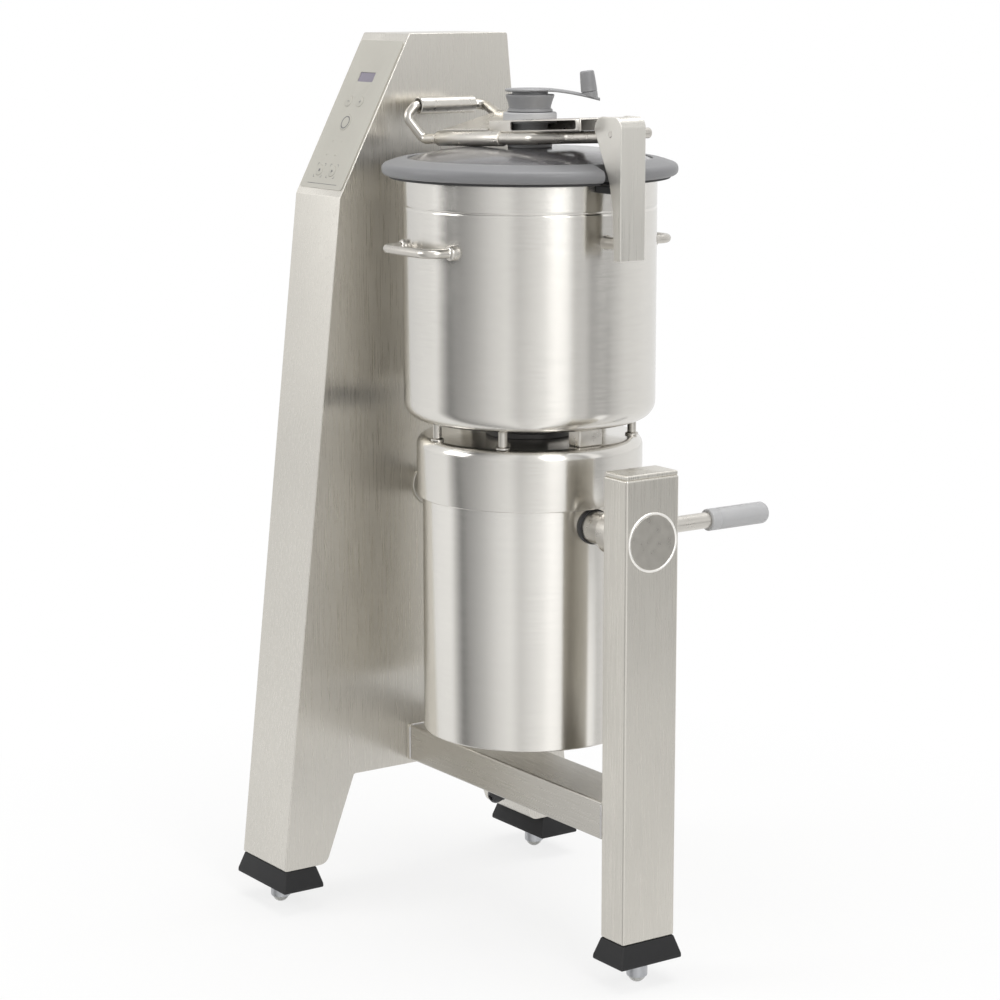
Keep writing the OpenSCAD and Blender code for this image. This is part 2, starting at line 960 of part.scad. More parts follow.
// Feet: a block that flares downwards, with the caster's bore in it
module rubber_foot(x, y, w_x, w_y) {
  flare = foot_flare;
  difference() {
    translate([x, y, 0])
      intersection() {
        along_y(-w_y, 2 * w_y)
          polygon([
            [-w_x / 2 - flare, foot_clear], [w_x / 2 + flare, foot_clear],
            [w_x / 2, leg_z], [-w_x / 2, leg_z]
          ]);
        across(-w_x, 2 * w_x)
          polygon([
            [-w_y / 2 - flare, foot_clear], [w_y / 2 + flare, foot_clear],
            [w_y / 2, leg_z], [-w_y / 2, leg_z]
          ]);
      }
    translate([x, y, foot_clear - cut])
      cylinder(h = cup_up - foot_clear + cut, r = ball_r + cup_wall + cup_fit);
    translate([x, y, foot_clear])
      cylinder(h = foot_h + cut, r = stem_r + cup_fit);
  }
}

module column_feet() on_axis() color([0.13, 0.13, 0.13])
  for (side = [-1, 1])
    rubber_foot(-column_mid, side * foot_y, column_t, foot_w);

module post_foot() on_axis() color([0.13, 0.13, 0.13])
  rubber_foot(post_mid, 0, post_t, post_w);

module caster_cup(floor_t) {
  difference() {
    union() {
      translate([0, 0, cup_low])
        cylinder(h = cup_up - cup_low, r = ball_r + cup_wall);
      translate([0, 0, cup_low])
        cylinder(h = leg_z + floor_t + stem_over - cup_low, r = stem_r);
      translate([0, 0, leg_z + floor_t])
        cylinder(h = nut_t, r = nut_r, $fn = 6);
    }
    translate([0, 0, ball_r])
      sphere(r = ball_r + run_fit);
  }
}

module caster_cups() on_axis() color([0.7, 0.7, 0.7]) {
  for (side = [-1, 1])
    translate([-column_mid, side * foot_y, 0])
      caster_cup(sheet);
  translate([post_mid, 0, 0])
    caster_cup(tube_wall);
}

module caster_ball(x, y) on_axis() color([0.8, 0.8, 0.8])
  translate([x, y, ball_r])
    sphere(r = ball_r);

module front_ball() caster_ball(-column_mid, -foot_y);

module rear_ball() caster_ball(-column_mid, foot_y);

module post_ball() caster_ball(post_mid, 0);

// Motor unit

module motor_barrel() on_axis() color([0.8, 0.79, 0.76])
  difference() {
    ring(barrel_r - barrel_wall, barrel_r, barrel_z, seam_z - barrel_z);
    translate([0, 0, pivot_z])
      bar_x(-2 * barrel_r, 2 * barrel_r, seat_r + seat_fit);
  }

module motor_collar() on_axis() color([0.8, 0.79, 0.76])
  rotate_extrude()
    polygon(concat(
      [[barrel_r - barrel_wall, seam_z], [collar_r, seam_z]],
      arc([collar_r - shoulder_r, collar_top - shoulder_r], shoulder_r, 0, 90),
      [[hub_hole_r, collar_top], [hub_hole_r, collar_top - barrel_wall]],
      arc([collar_r - shoulder_r, collar_top - shoulder_r], shoulder_r - barrel_wall, 90, 0),
      [[collar_r - barrel_wall, seam_z + ledge_t], [barrel_r - barrel_wall, seam_z + ledge_t]]
    ));

module bottom_cover() on_axis() color([0.7, 0.7, 0.68]) {
  outer = barrel_r - barrel_wall;
  difference() {
    translate([0, 0, barrel_z])
      cylinder(h = ledge_t, r = outer);
    for (i = [0 : slot_count - 1])
      rotate([0, 0, i * 360 / slot_count])
        translate([slot_in, -slot_w / 2, barrel_z - cut])
          cube([outer - slot_rim - slot_in, slot_w, ledge_t + 2 * cut]);
  }
}

frame_top = seam_z - frame_rest;
upper_seat = frame_top - bearing_h - cut;
lower_seat = frame_low + shield_hub;

module motor_frame() on_axis() color([0.6, 0.61, 0.63])
  difference() {
    rotate_extrude()
      polygon([
        [stator_r, frame_low], [stator_r + frame_wall, frame_low],
        [stator_r + frame_wall, frame_top - frame_flange],
        [barrel_r - barrel_wall, frame_top - frame_flange],
        [barrel_r - barrel_wall, frame_top], [bearing_r, frame_top],
        [bearing_r, upper_seat], [bearing_r - bearing_lip, upper_seat],
        [bearing_r - bearing_lip, upper_seat - web_under], [stator_r, upper_seat - web_under]
      ]);
    for (side = [0, 1])
      mirror([side, 0, 0])
        translate([0, 0, pivot_z])
          bar_x(barrel_r - barrel_wall - 2 * frame_wall, 2 * barrel_r, seat_r);
  }

module lower_shield() on_axis() color([0.6, 0.61, 0.63])
  rotate_extrude()
    polygon([
      [bearing_r - bearing_lip, frame_low - shield_t], [stator_r + frame_wall, frame_low - shield_t],
      [stator_r + frame_wall, frame_low], [bearing_r + shield_hub, frame_low],
      [bearing_r + shield_hub, lower_seat + bearing_h], [bearing_r, lower_seat + bearing_h],
      [bearing_r, lower_seat], [bearing_r - bearing_lip, lower_seat]
    ]);

module stator_core() on_axis() color([0.45, 0.46, 0.48])
  ring(rotor_r + 2 * rest_gap, stator_r, core_low, core_h);

module stator_windings() on_axis() color([0.72, 0.4, 0.2]) {
  inner = rotor_r + winding_rim;
  outer = stator_r - winding_rim;
  ring(inner, outer, core_low - winding_h, winding_h);
  ring(inner, outer, core_low + core_h, winding_h);
}

module motor_bearings() on_axis() color([0.7, 0.71, 0.73]) {
  ring(shaft_r + run_fit, bearing_r, upper_seat, bearing_h);
  ring(shaft_r + run_fit, bearing_r, lower_seat, bearing_h);
}

module motor_rotor() on_axis() color([0.5, 0.5, 0.52])
  ring(shaft_r, rotor_r, core_low, core_h);

module drive_shaft() on_axis() color([0.7, 0.7, 0.72]) {
  translate([0, 0, shaft_low])
    cylinder(h = shaft_step - shaft_low, r = shaft_r);
  translate([0, 0, shaft_step])
    cylinder(h = shaft_top - shaft_step, r = spindle_r);
}

module cooling_fan() on_axis() color([0.2, 0.2, 0.22]) {
  ring(shaft_r, fan_hub, fan_low, fan_h);
  for (i = [0 : fan_blades - 1])
    rotate([0, 0, i * 360 / fan_blades])
      translate([fan_hub - fan_blade_t, -fan_blade_t / 2, fan_low])
        cube([fan_r - fan_hub, fan_blade_t, fan_h]);
}

module centring_boss() on_axis() color([0.12, 0.12, 0.13])
  rotate_extrude()
    polygon([
      [spindle_r + run_fit, collar_top - boss_lip], [hub_hole_r, collar_top - boss_lip],
      [hub_hole_r, collar_top], [boss_disc_r, collar_top],
      [boss_disc_r, collar_top + boss_disc_t], [boss_cone_r, collar_top + boss_disc_t + boss_cone_z],
      [chimney_r - bowl_wall - rest_gap, collar_top + boss_disc_t + boss_cone_z],
      [chimney_r - bowl_wall - rest_gap, bowl_z + nose_up],
      [spindle_r + seal_lip, bowl_z + nose_up], [spindle_r + seal_lip, collar_top],
      [spindle_r + run_fit, collar_top]
    ]);

module bowl_supports() on_axis() color([0.75, 0.75, 0.73]) {
  for (w = stud_angles)
    rotate([0, 0, w])
      translate([stud_ring, 0, collar_top])
        cylinder(h = bowl_z - rest_gap - collar_top, r = stud_r);
  for (side = [-1, 1])
    translate([side * lug_ring - lug_d / 2, -lug_w / 2, collar_top])
      cube([lug_d, lug_w, bowl_z - rest_gap - collar_top]);
}

// Tilt lever

module tilt_lever() on_axis() color([0.72, 0.72, 0.7])
  translate([lever_x, 0, pivot_z])
    difference() {
      union() {
        bar_x(-lever_hub_t / 2, lever_hub_t / 2, lever_hub_r);
        bar_y(lever_hub_r / 2, grip_from + lever_in, lever_r);
      }
      bar_x(-lever_hub_t, lever_hub_t, journal_r);
    }

module lever_grip() on_axis() color([0.62, 0.62, 0.62])
  translate([lever_x, 0, pivot_z])
    rotate([-90, 0, 0])
      rotate_extrude()
        polygon(concat(
          [[0, grip_from + lever_in], [lever_r, grip_from + lever_in], [lever_r, grip_from]],
          arc([grip_r - rebate_r, grip_from + rebate_r], rebate_r, -90, 0),
          arc([grip_r - ring_round, grip_to - ring_round], ring_round, 0, 90),
          [[0, grip_to]]
        ));

// Bowl

module bowl() on_axis() color([0.82, 0.81, 0.79])
  rotate_extrude()
    polygon(concat(
      [[chimney_r - bowl_wall, bowl_z]],
      arc([bowl_r - bowl_corner, bowl_z + bowl_corner], bowl_corner, -90, 0),
      [[bowl_r, groove_z - groove_w / 2], [bowl_r - groove_deep, groove_z - groove_w / 4]],
      [[bowl_r - groove_deep, groove_z + groove_w / 4], [bowl_r, groove_z + groove_w / 2]],
      [[bowl_r, rim_z], [bowl_r - bowl_wall, rim_z]],
      arc([bowl_r - bowl_corner, bowl_z + bowl_corner], bowl_corner - bowl_wall, 0, -90),
      [[chimney_r, bowl_z + bowl_wall], [chimney_r, chimney_top], [chimney_r - bowl_wall, chimney_top]]
    ));

// A handle in front of the bowl: two legs, two bends and a bar
module handle_loop() {
  bar_at = bowl_r + handle_reach - handle_r;
  legs = bar_at - handle_bend;
  difference() {
    union()
      for (side = [0, 1])
        mirror([side, 0, 0]) {
          translate([handle_half, -legs, 0])
            rotate([-90, 0, 0])
              cylinder(h = legs - bowl_r / 2, r = handle_r);
          translate([handle_half, -bowl_r, 0])
            rotate([-90, 0, 0])
              cylinder(h = bowl_r / 2, r = pad_r);
          translate([handle_half - handle_bend, -legs, 0])
            rotate([0, 0, -90])
              rotate_extrude(angle = 90)
                translate([handle_bend, 0])
                  circle(r = handle_r);
          translate([0, -bar_at, 0])
            bar_x(0, handle_half - handle_bend, handle_r);
        }
    translate([0, 0, -bowl_r])
      cylinder(h = 2 * bowl_r, r = bowl_r, $fn = 96);
  }
}

module bowl_handles() on_axis() color([0.8, 0.8, 0.78])
  for (turn = [0, 180])
    translate([0, 0, handle_z])
      rotate([0, 0, turn])
        handle_loop($fn = 40);

bend_x = bracket_x - bracket_bend;
bend_z = bracket_top - bracket_bend;

module hinge_bracket() on_axis() color([0.79, 0.78, 0.75])
  difference() {
    union() {
      along_y(-bracket_half, 2 * bracket_half)
        polygon(concat(
          [[bracket_x - bracket_t, bracket_z], [bracket_x, bracket_z]],
          arc([bend_x, bend_z], bracket_bend, 0, 90),
          arc([bend_x, bend_z], bracket_bend - bracket_t, 90, 0)
        ));
      for (y = [-bracket_half, bracket_half - bracket_t])
        along_y(y, bracket_t)
          polygon(concat(
            [[bracket_x - cheek_low, bracket_z], [bracket_x, bracket_z]],
            arc([bend_x, bend_z], bracket_bend, 0, 90),
            arc([bracket_x - cheek_top + cheek_round, bracket_top - cheek_round], cheek_round, 90, 180),
            [[bracket_x - cheek_top + cheek_round / 2, bracket_top - cheek_flare]],
            [[bracket_x - cheek_neck, ring_z], [bracket_x - cheek_mid, handle_z + bracket_half * 3]]
          ));
      translate([0, 0, bracket_z + spacer_up])
        bar_x(bowl_r / 2, bracket_x - bracket_t, spacer_r);
    }
    translate([0, 0, bowl_z])
      cylinder(h = rim_z - bowl_z, r = bowl_r);
    translate([pin_x, 0, pin_z])
      bar_y(-2 * bracket_half, 2 * bracket_half, pin_r);
  }

module hinge_pin() on_axis() color([0.7, 0.7, 0.7])
  translate([pin_x, 0, pin_z]) {
    bar_y(-bracket_half, bracket_half, pin_r);
    bar_y(bracket_half, bracket_half + pin_head_l, pin_head_r);
  }

module bracket_pad() on_axis() color([0.08, 0.08, 0.08])
  difference() {
    translate([bowl_r / 2, -bracket_half + bracket_t, rim_z - pad_h - pad_under])
      cube([bracket_x - bracket_t - bowl_r / 2, 2 * bracket_half - 2 * bracket_t, pad_h]);
    translate([0, 0, bowl_z])
      cylinder(h = rim_z - bowl_z, r = bowl_r);
  }

// Cutter

module blade_hub() on_axis() color([0.7, 0.7, 0.72])
  rotate_extrude()
    polygon([
      [hub_inner, hub_low], [hub_r, hub_low], [hub_r, hub_shoulder],
      [hub_r - hub_chamfer, hub_neck_z], [cap_r, hub_neck_z], [cap_top_r, hub_top], [0, hub_top],
      [0, socket_low + socket_deep], [spindle_r + run_fit, socket_low + socket_deep],
      [spindle_r + run_fit, socket_low], [hub_inner, socket_low]
    ]);

// One blade: a root ring on the hub and a sickle that ends at the blades' reach
module cutter_blade(turn) {
  big = (blade_reach - root_w / 2) / 2;
  rotate([0, 0, turn])
    linear_extrude(blade_t)
      difference() {
        union() {
          circle(r = hub_r + root_w);
          difference() {
            translate([blade_reach - big, 0])
              circle(r = big);
            translate([blade_reach - big, -sickle_bite])
              circle(r = big + sickle_grow);
          }
        }
        circle(r = hub_r);
      }
}

module cutter_blades() on_axis() color([0.75, 0.75, 0.77])
  for (i = [0 : blade_count - 1])
    translate([0, 0, blade_low + i * blade_pitch])
      cutter_blade(i * 360 / blade_count);

// Lid

module lid_notch() {
  translate([notch_x, -notch_half, rim_z - ring_corner])
    cube([ring_r, 2 * notch_half, ring_top + 2 * ring_corner - rim_z]);
}

module lid_ring() on_axis() color([0.6, 0.6, 0.61])
  difference() {
    rotate_extrude()
      polygon(concat(
        [[ring_in + ring_corner, ring_z], [ring_r - ring_under, ring_z], [ring_r, ring_z + ring_under]],
        arc([ring_r - ring_round, ring_top - ring_slope - ring_round], ring_round, 0, 90),
        [[ring_in + rebate_r + ring_flat, ring_top], [ring_in + rebate_r, ring_top]],
        [[ring_in + rebate_r, ring_top - ring_slope], [ring_in, ring_top - ring_slope]],
        [[ring_in, ring_z + ring_corner]]
      ));
    lid_notch();
  }

module lid_seal() on_axis() color([0.07, 0.07, 0.07])
  difference() {
    ring(ring_in + seal_in, ring_in + seal_over, ring_z - seal_h, seal_h);
    lid_notch();
  }

module lid_dome() on_axis() color([0.75, 0.75, 0.78, 0.35]) {
  edge = ring_in + rebate_r - seat_fit;
  steps = 2 * arc_steps;
  radii = [for (k = [0 : steps]) lid_bore + (edge - lid_bore) * k / steps];
  rotate_extrude()
    polygon(concat(
      [for (k = [0 : steps]) [radii[k], dome_z(radii[k])]],
      [for (k = [steps : -1 : 0]) [radii[k], dome_z(radii[k]) - dome_t]]
    ));
}

// The collar's lower end is inside the yoke, and is cut off along the yoke's sloping top
collar_low = dome_top + yoke_h + hub_flange_t;

module lid_hub() on_axis() color([0.62, 0.62, 0.63]) {
  rotate_extrude()
    polygon([
      [lid_shaft_r + run_fit, dome_top - dome_t - hub_nut_t],
      [hub_nut_r, dome_top - dome_t - hub_nut_t],
      [hub_nut_r, dome_top - dome_t], [lid_bore, dome_top - dome_t],
      [lid_bore, dome_top], [hub_flange_r, dome_top],
      [hub_flange_r, dome_top + hub_flange_t], [stem_outer, dome_top + hub_flange_t],
      [stem_outer, collar_ring_z], [lid_shaft_r + run_fit, collar_ring_z]
    ]);
  difference() {
    ring(stem_outer - cut, collar_ring_r, collar_low, collar_ring_z - collar_low);
    on_arm()
      translate([-pin_x - 2 * collar_ring_r, -2 * arm_half, -arm_half])
        cube([4 * collar_ring_r, 4 * arm_half, arm_half + yoke_h]);
  }
}

// The near half of a tube, the same on both sides but for its sign
function near_tube(side) = [
  [-arm_wide, side * arm_half, -tube_drop],
  [-arm_bend, side * arm_in, -tube_drop],
  [-arm_near, side * arm_eye_y, -tube_drop],
  [0, side * arm_eye_y, 0]
];

front_tube = concat([[-front_end + 2 * loop_in, -arm_half, -front_rise]], near_tube(-1));
rear_tube = concat(
  [
    [-rear_end + 2 * loop_in, arm_half, rear_end_z - loop_in / 5],
    [-rear_mid, arm_half, rear_mid_z],
    [-rear_drop_end, arm_half, -tube_drop]
  ],
  near_tube(1)
);
d_handle = [
  [-front_end + loop_in, -arm_half, -front_rise],
  [-loop_low, -loop_low_y, -loop_low_z],
  [-loop_side, -loop_side_y, loop_side_z],
  [-sleeve_x, -loop_turn_y, sleeve_z],
  [-sleeve_x, loop_far_y, sleeve_z],
  [-rear_end + loop_in, arm_half, rear_end_z]
];

module arm_ferrules() {
  rod(
    [-front_end, -arm_half, -front_rise],
    [-ferrule_end, -arm_half, -front_rise - tube_drop / 2],
    ferrule_r
  );
  rod([-rear_end, arm_half, rear_end_z], [-rear_mid, arm_half, rear_mid_z], ferrule_r);
}

module lid_arm() on_axis() color([0.78, 0.77, 0.74])
  on_arm()
    difference() {
      union() {
        bent_rod(front_tube, arm_r, tube_bend);
        bent_rod(rear_tube, arm_r, tube_bend);
        bent_rod(d_handle, loop_r, loop_bends);
        arm_ferrules();
        bar_y(-bracket_half + bracket_t + rest_gap, bracket_half - bracket_t - rest_gap, eye_r);
      }
      bar_y(-2 * bracket_half, 2 * bracket_half, pin_r + run_fit);
    }

module arm_yoke() on_axis() color([0.8, 0.79, 0.77])
  difference() {
    union() {
      on_arm() {
        difference() {
          translate([-yoke_from, -arm_half - yoke_wall / 2, yoke_low])
            cube([yoke_from - yoke_to, arm_half + yoke_wall / 2 + yoke_rear, yoke_h - yoke_low]);
          translate([-yoke_from + yoke_wall, -arm_half + yoke_wall / 2, yoke_low - cut])
            cube([
              yoke_from - yoke_to - yoke_wall + cut,
              arm_half - 3 * yoke_wall / 2 + yoke_rear,
              yoke_h - yoke_low - yoke_wall + cut
            ]);
          along_y(-arm_half - yoke_wall, 2 * yoke_wall)
            yoke_window();
        }
        hull() {
          saddle_edge(-arm_half, front_saddle);
          saddle_edge(arm_half, rear_saddle);
        }
      }
    }
    cylinder(h = pin_z + 2 * yoke_h, r = stem_outer + seat_fit);
    on_arm() {
      bent_rod(rear_tube, arm_r, tube_bend);
      bent_rod(front_tube, arm_r, tube_bend);
      bent_rod(d_handle, loop_r, loop_bends);
      arm_ferrules();
    }
  }

saddle_rise = ferrule_r + saddle_t / 2;
front_saddle = [-front_rise + saddle_rise, -front_rise - tube_drop / 2 + saddle_rise];
rear_saddle = [saddle_end_z + ferrule_r, rear_mid_z + ferrule_r];

module saddle_edge(y, heights) {
  rod([-saddle_end, y, heights[0]], [-yoke_from, y, heights[1]], saddle_t / 2, $fn = 16);
}

module yoke_window() {
  low = yoke_low + window_low;
  high = yoke_h - window_top;
  for (x = [-window_from + window_r, -window_to - window_r], z = [low + window_r, high - window_r])
    translate([x, z])
      circle(r = window_r);
  translate([-window_from, low + window_r])
    square([window_from - window_to, high - low - 2 * window_r]);
  translate([-window_from + window_r, low])
    square([window_from - window_to - 2 * window_r, high - low]);
}

module arm_sleeve() on_axis() color([0.82, 0.81, 0.79])
  on_arm()
    translate([-sleeve_x, 0, sleeve_z])
      difference() {
        bar_y(-sleeve_half, sleeve_half, sleeve_r);
        bar_y(-sleeve_half - cut, sleeve_half + cut, loop_r + run_fit);
        bar_y(-sleeve_half - cut, -sleeve_half + sleeve_recess, sleeve_recess_r);
        bar_y(sleeve_half - sleeve_recess, sleeve_half + cut, sleeve_recess_r);
      }

// Crank, wiper and knob

module crank_outline() {
  circle(r = plate_r);
  polygon([
    [0, -crank_hub_w], [crank_tip - crank_w / 2, -crank_w / 2],
    [crank_tip - crank_w / 2, crank_w / 2], [0, crank_hub_w]
  ]);
  translate([crank_tip - crank_w / 2, 0])
    circle(r = crank_w / 2);
}

crank_run = crank_tip + plate_r + 2 * cut;
crank_stations = [for (k = [0 : crank_steps]) crank_run * k / crank_steps - plate_r - cut];

module wiper_crank() on_axis() color([0.62, 0.62, 0.64])
  rotate([0, 0, crank_angle]) {
    difference() {
      rotate_extrude()
        polygon([
          [0, collar_ring_z + rest_gap], [skirt_r, collar_ring_z + rest_gap], [neck_r, neck_z],
          [flare_r, flare_z], [gap_r, flare_z], [gap_r, crank_z - plate_t], [0, crank_z - plate_t]
        ]);
      translate([0, 0, collar_ring_z])
        cylinder(h = neck_z - collar_ring_z, r = lid_shaft_r);
    }
    intersection() {
      translate([0, 0, crank_z - plate_t - 2 * crank_drop])
        linear_extrude(plate_t + 2 * crank_drop)
          crank_outline();
      along_y(-plate_r, 2 * plate_r)
        polygon(concat(
          [for (r = crank_stations) [r, crank_face(r)]],
          [for (i = [crank_steps : -1 : 0]) [crank_stations[i], crank_face(crank_stations[i]) - plate_t]]
        ));
    }
    intersection() {
      on_knob()
        translate([0, 0, -2 * knob_seat])
          cylinder(h = 3 * knob_seat, r = knob_r);
      along_y(-plate_r, 2 * plate_r)
        polygon(concat(
          [for (r = crank_stations) [r, crank_face(r) - plate_t / 2]],
          [[crank_stations[crank_steps], crank_z + knob_h], [crank_stations[0], crank_z + knob_h]]
        ));
    }
    on_knob()
      cylinder(h = knob_seat + knob_pin_l, r = knob_pin_r);
  }

// The knob's frame, on the crank's face and square to it
module on_knob() {
  translate([crank_reach, 0, crank_face(crank_reach)])
    rotate([0, -knob_lean, 0])
      children();
}

module crank_knob() on_axis() color([0.6, 0.6, 0.62])
  rotate([0, 0, crank_angle])
    on_knob()
      translate([0, 0, knob_seat + rest_gap])
        rotate_extrude()
          polygon(concat(
            [[knob_pin_r + run_fit, 0], [knob_r, 0]],
            arc([knob_top_r - knob_edge, knob_h - knob_edge], knob_edge, 0, 90),
            [[0, knob_h], [0, knob_pin_l], [knob_pin_r + run_fit, knob_pin_l]]
          ));

module lid_wiper() on_axis() color([0.16, 0.13, 0.2])
  rotate([0, 0, wiper_angle]) {
    top = dome_top - dome_t - hub_nut_t - rest_gap;
    translate([0, 0, top])
      cylinder(h = neck_z - top, r = lid_shaft_r);
    translate([0, 0, top - wiper_boss_h])
      cylinder(h = wiper_boss_h, r = wiper_boss_r);
    along_y(-wiper_t / 2, wiper_t)
      polygon(concat(
        [for (k = [-arc_steps : arc_steps])
          let (r = wiper_reach * k / arc_steps)
          [r, min(dome_z(abs(r)) - dome_t - wiper_gap, top)]],
        [[wiper_reach, dome_z(wiper_reach) - dome_t - wiper_depth]],
        [[wiper_boss_r, top - wiper_boss_h], [-wiper_boss_r, top - wiper_boss_h]],
        [[-wiper_reach, dome_z(wiper_reach) - dome_t - wiper_depth]]
      ));
  }

column_casing();
side_cover();
cover_screws();
stiffener_plate();
control_panel();
display_window();
control_board();
drive_unit();
cable_gland();
pivot_bearings();
beam_flange();
base_beam();
support_post();
post_top_cap();
pivot_cover();
column_feet();
post_foot();
caster_cups();
front_ball();
rear_ball();
post_ball();
minus_key();
plus_key();
pulse_key();
stop_key();
start_key();
motor_barrel();
motor_collar();
bottom_cover();
motor_frame();
lower_shield();
stator_core();
stator_windings();
motor_bearings();
tilt_trunnions();
trunnion_seals();
tilt_lever();
lever_grip();
bowl_supports();
centring_boss();
motor_rotor();
drive_shaft();
cooling_fan();
bowl();
bowl_handles();
hinge_bracket();
hinge_pin();
bracket_pad();
blade_hub();
cutter_blades();
lid_ring();
lid_seal();
lid_dome();
lid_hub();
lid_arm();
arm_yoke();
arm_sleeve();
wiper_crank();
lid_wiper();
crank_knob();
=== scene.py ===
"""Vertical cutter mixer: the looks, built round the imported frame.

Metres, +Z up, -Y the operator's side, +X from the column to the post. Sizes below are in millimetres,
counted from the bowl's axis, and at() turns them into the frame's metres.
"""

import math

import bmesh
import bpy
from mathutils import Matrix, Vector

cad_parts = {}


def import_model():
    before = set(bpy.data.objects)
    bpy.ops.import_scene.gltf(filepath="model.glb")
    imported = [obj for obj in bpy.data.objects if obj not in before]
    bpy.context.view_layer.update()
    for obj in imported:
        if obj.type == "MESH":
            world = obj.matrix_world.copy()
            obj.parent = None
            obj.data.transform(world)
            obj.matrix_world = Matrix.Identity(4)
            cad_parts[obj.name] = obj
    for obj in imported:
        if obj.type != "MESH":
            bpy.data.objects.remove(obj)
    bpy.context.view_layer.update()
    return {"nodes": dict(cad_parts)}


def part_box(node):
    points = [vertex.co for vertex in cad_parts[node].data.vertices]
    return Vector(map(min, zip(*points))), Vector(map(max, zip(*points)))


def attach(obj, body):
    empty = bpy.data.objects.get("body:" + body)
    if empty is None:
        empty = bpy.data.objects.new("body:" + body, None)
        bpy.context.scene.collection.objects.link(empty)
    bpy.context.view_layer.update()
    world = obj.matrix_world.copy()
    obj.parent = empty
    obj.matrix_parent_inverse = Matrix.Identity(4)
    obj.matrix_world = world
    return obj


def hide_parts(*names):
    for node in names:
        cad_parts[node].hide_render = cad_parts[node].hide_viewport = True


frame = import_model()

MM = 0.001
FLOOR_Z = 0.0
bowl_low, bowl_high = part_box("bowl")
AXIS_X = (bowl_low.x + bowl_high.x) / 2


def extent(node):
    """A CAD node's lowest and highest corner, in millimetres from the bowl's axis."""
    return [((c.x - AXIS_X) / MM, c.y / MM, c.z / MM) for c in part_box(node)]


# Levels and places read from the frame
(COLUMN_OUT, _, _), (COLUMN_IN, _, TOP_Z) = extent("column_casing")
(POST_IN, _, LEG_Z), (POST_OUT, POST_HALF, _) = extent("support_post")
(_, _, BEAM_LOW), (_, _, BEAM_HIGH) = extent("base_beam")
(_, _, BARREL_LOW), (_, BARREL_R, SEAM_Z) = extent("motor_barrel")
(_, _, _), (_, COLLAR_R, COLLAR_TOP) = extent("motor_collar")
(_, _, BOWL_LOW), (BOWL_R, _, RIM_Z) = extent("bowl")
(_, _, RING_LOW), (_, RING_R, RING_TOP) = extent("lid_ring")
PIVOT_Z = sum(corner[2] for corner in extent("pivot_cover")) / 2
COLUMN_MID = (COLUMN_IN + COLUMN_OUT) / 2
POST_MID = (POST_IN + POST_OUT) / 2

# The column's outline in y and z, from the front foot over the slanted face and back under the arch
FACE_FOOT = (-149, 1026)
FACE_HEAD = (-32, TOP_Z)
REAR_LEG_IN = 180
ARCH_HALF = 136
ARCH_Z = 191.5
COLUMN_POINTS = [
    (-255, LEG_Z), FACE_FOOT, FACE_HEAD, (135, TOP_Z), (251, LEG_Z),
    (REAR_LEG_IN, LEG_Z), (ARCH_HALF, ARCH_Z), (-ARCH_HALF, ARCH_Z), (-184, LEG_Z),
]
COLUMN_RADII = [3, 6, 4, 4, 3, 16, 4, 4, 16]
SHEET = 2.0
INNER_RADII = [max(r - SHEET, 1) for r in COLUMN_RADII]

ALONG_X = (1, 0, 0)
ALONG_Y = (0, 1, 0)
CORNER_STEPS = 6
BEND_STEPS = 8
SMOOTH_ANGLE = 35
WELD_GAP = 1e-7


def at(x, y, z):
    """A place counted in millimetres from the bowl's axis, in the frame's metres."""
    return Vector((AXIS_X + x * MM, y * MM, z * MM))


def frame_at(place, axis=None):
    """A frame at a place, with its Z along an axis where one is given."""
    turn = Matrix()
    if axis is not None:
        turn = Vector(axis).to_track_quat("Z", "Y").to_matrix().to_4x4()
    return Matrix.Translation(at(*place)) @ turn


# Outlines

def unit(v):
    return v / v.length


def rounded(points, radii):
    """A closed outline with its corners rounded to the given radii."""
    made = []
    count = len(points)
    for i, radius in enumerate(radii):
        b = Vector(points[i])
        u = unit(Vector(points[i - 1]) - b)
        v = unit(Vector(points[(i + 1) % count]) - b)
        half = math.acos(max(-1, min(1, u.dot(v)))) / 2
        centre = b + unit(u + v) * (radius / math.sin(half))
        start = b + u * (radius / math.tan(half)) - centre
        end = b + v * (radius / math.tan(half)) - centre
        turn = math.pi - 2 * half
        for k in range(CORNER_STEPS + 1):
            t = k / CORNER_STEPS
            p = (start * math.sin(turn * (1 - t)) + end * math.sin(turn * t)) / math.sin(turn)
            made.append(tuple(centre + p))
    return made


def inset(points, d):
    """A clockwise outline with every side moved inwards by d."""
    made = []
    count = len(points)
    for i in range(count):
        a, b, c = (Vector(points[j % count]) for j in (i - 1, i, i + 1))
        u, v = unit(b - a), unit(c - b)
        nu, nv = Vector((u.y, -u.x)), Vector((v.y, -v.x))
        made.append(tuple(b + (nu + nv) * (d / (1 + nu.dot(nv)))))
    return made


def arc(cx, cy, r, start, end, steps=8):
    """Points of an arc, its angles in degrees."""
    made = []
    for k in range(steps + 1):
        w = math.radians(start + (end - start) * k / steps)
        made.append((cx + r * math.cos(w), cy + r * math.sin(w)))
    return made


def rectangle(x0, y0, x1, y1):
    return [(x0, y0), (x1, y0), (x1, y1), (x0, y1)]


# Mesh helpers

def smooth(mesh, angle=SMOOTH_ANGLE):
    """Smooth faces, and sharp edges above an angle."""
    mesh.shade_smooth()
    mesh.set_sharp_from_angle(angle=math.radians(angle))


def make_object(name, verts, faces, angle=SMOOTH_ANGLE):
    mesh = bpy.data.meshes.new(name)
    mesh.from_pydata([tuple(v) for v in verts], [], faces)
    mesh.validate()
    smooth(mesh, angle)
    obj = bpy.data.objects.new(name, mesh)
    bpy.context.scene.collection.objects.link(obj)
    return obj


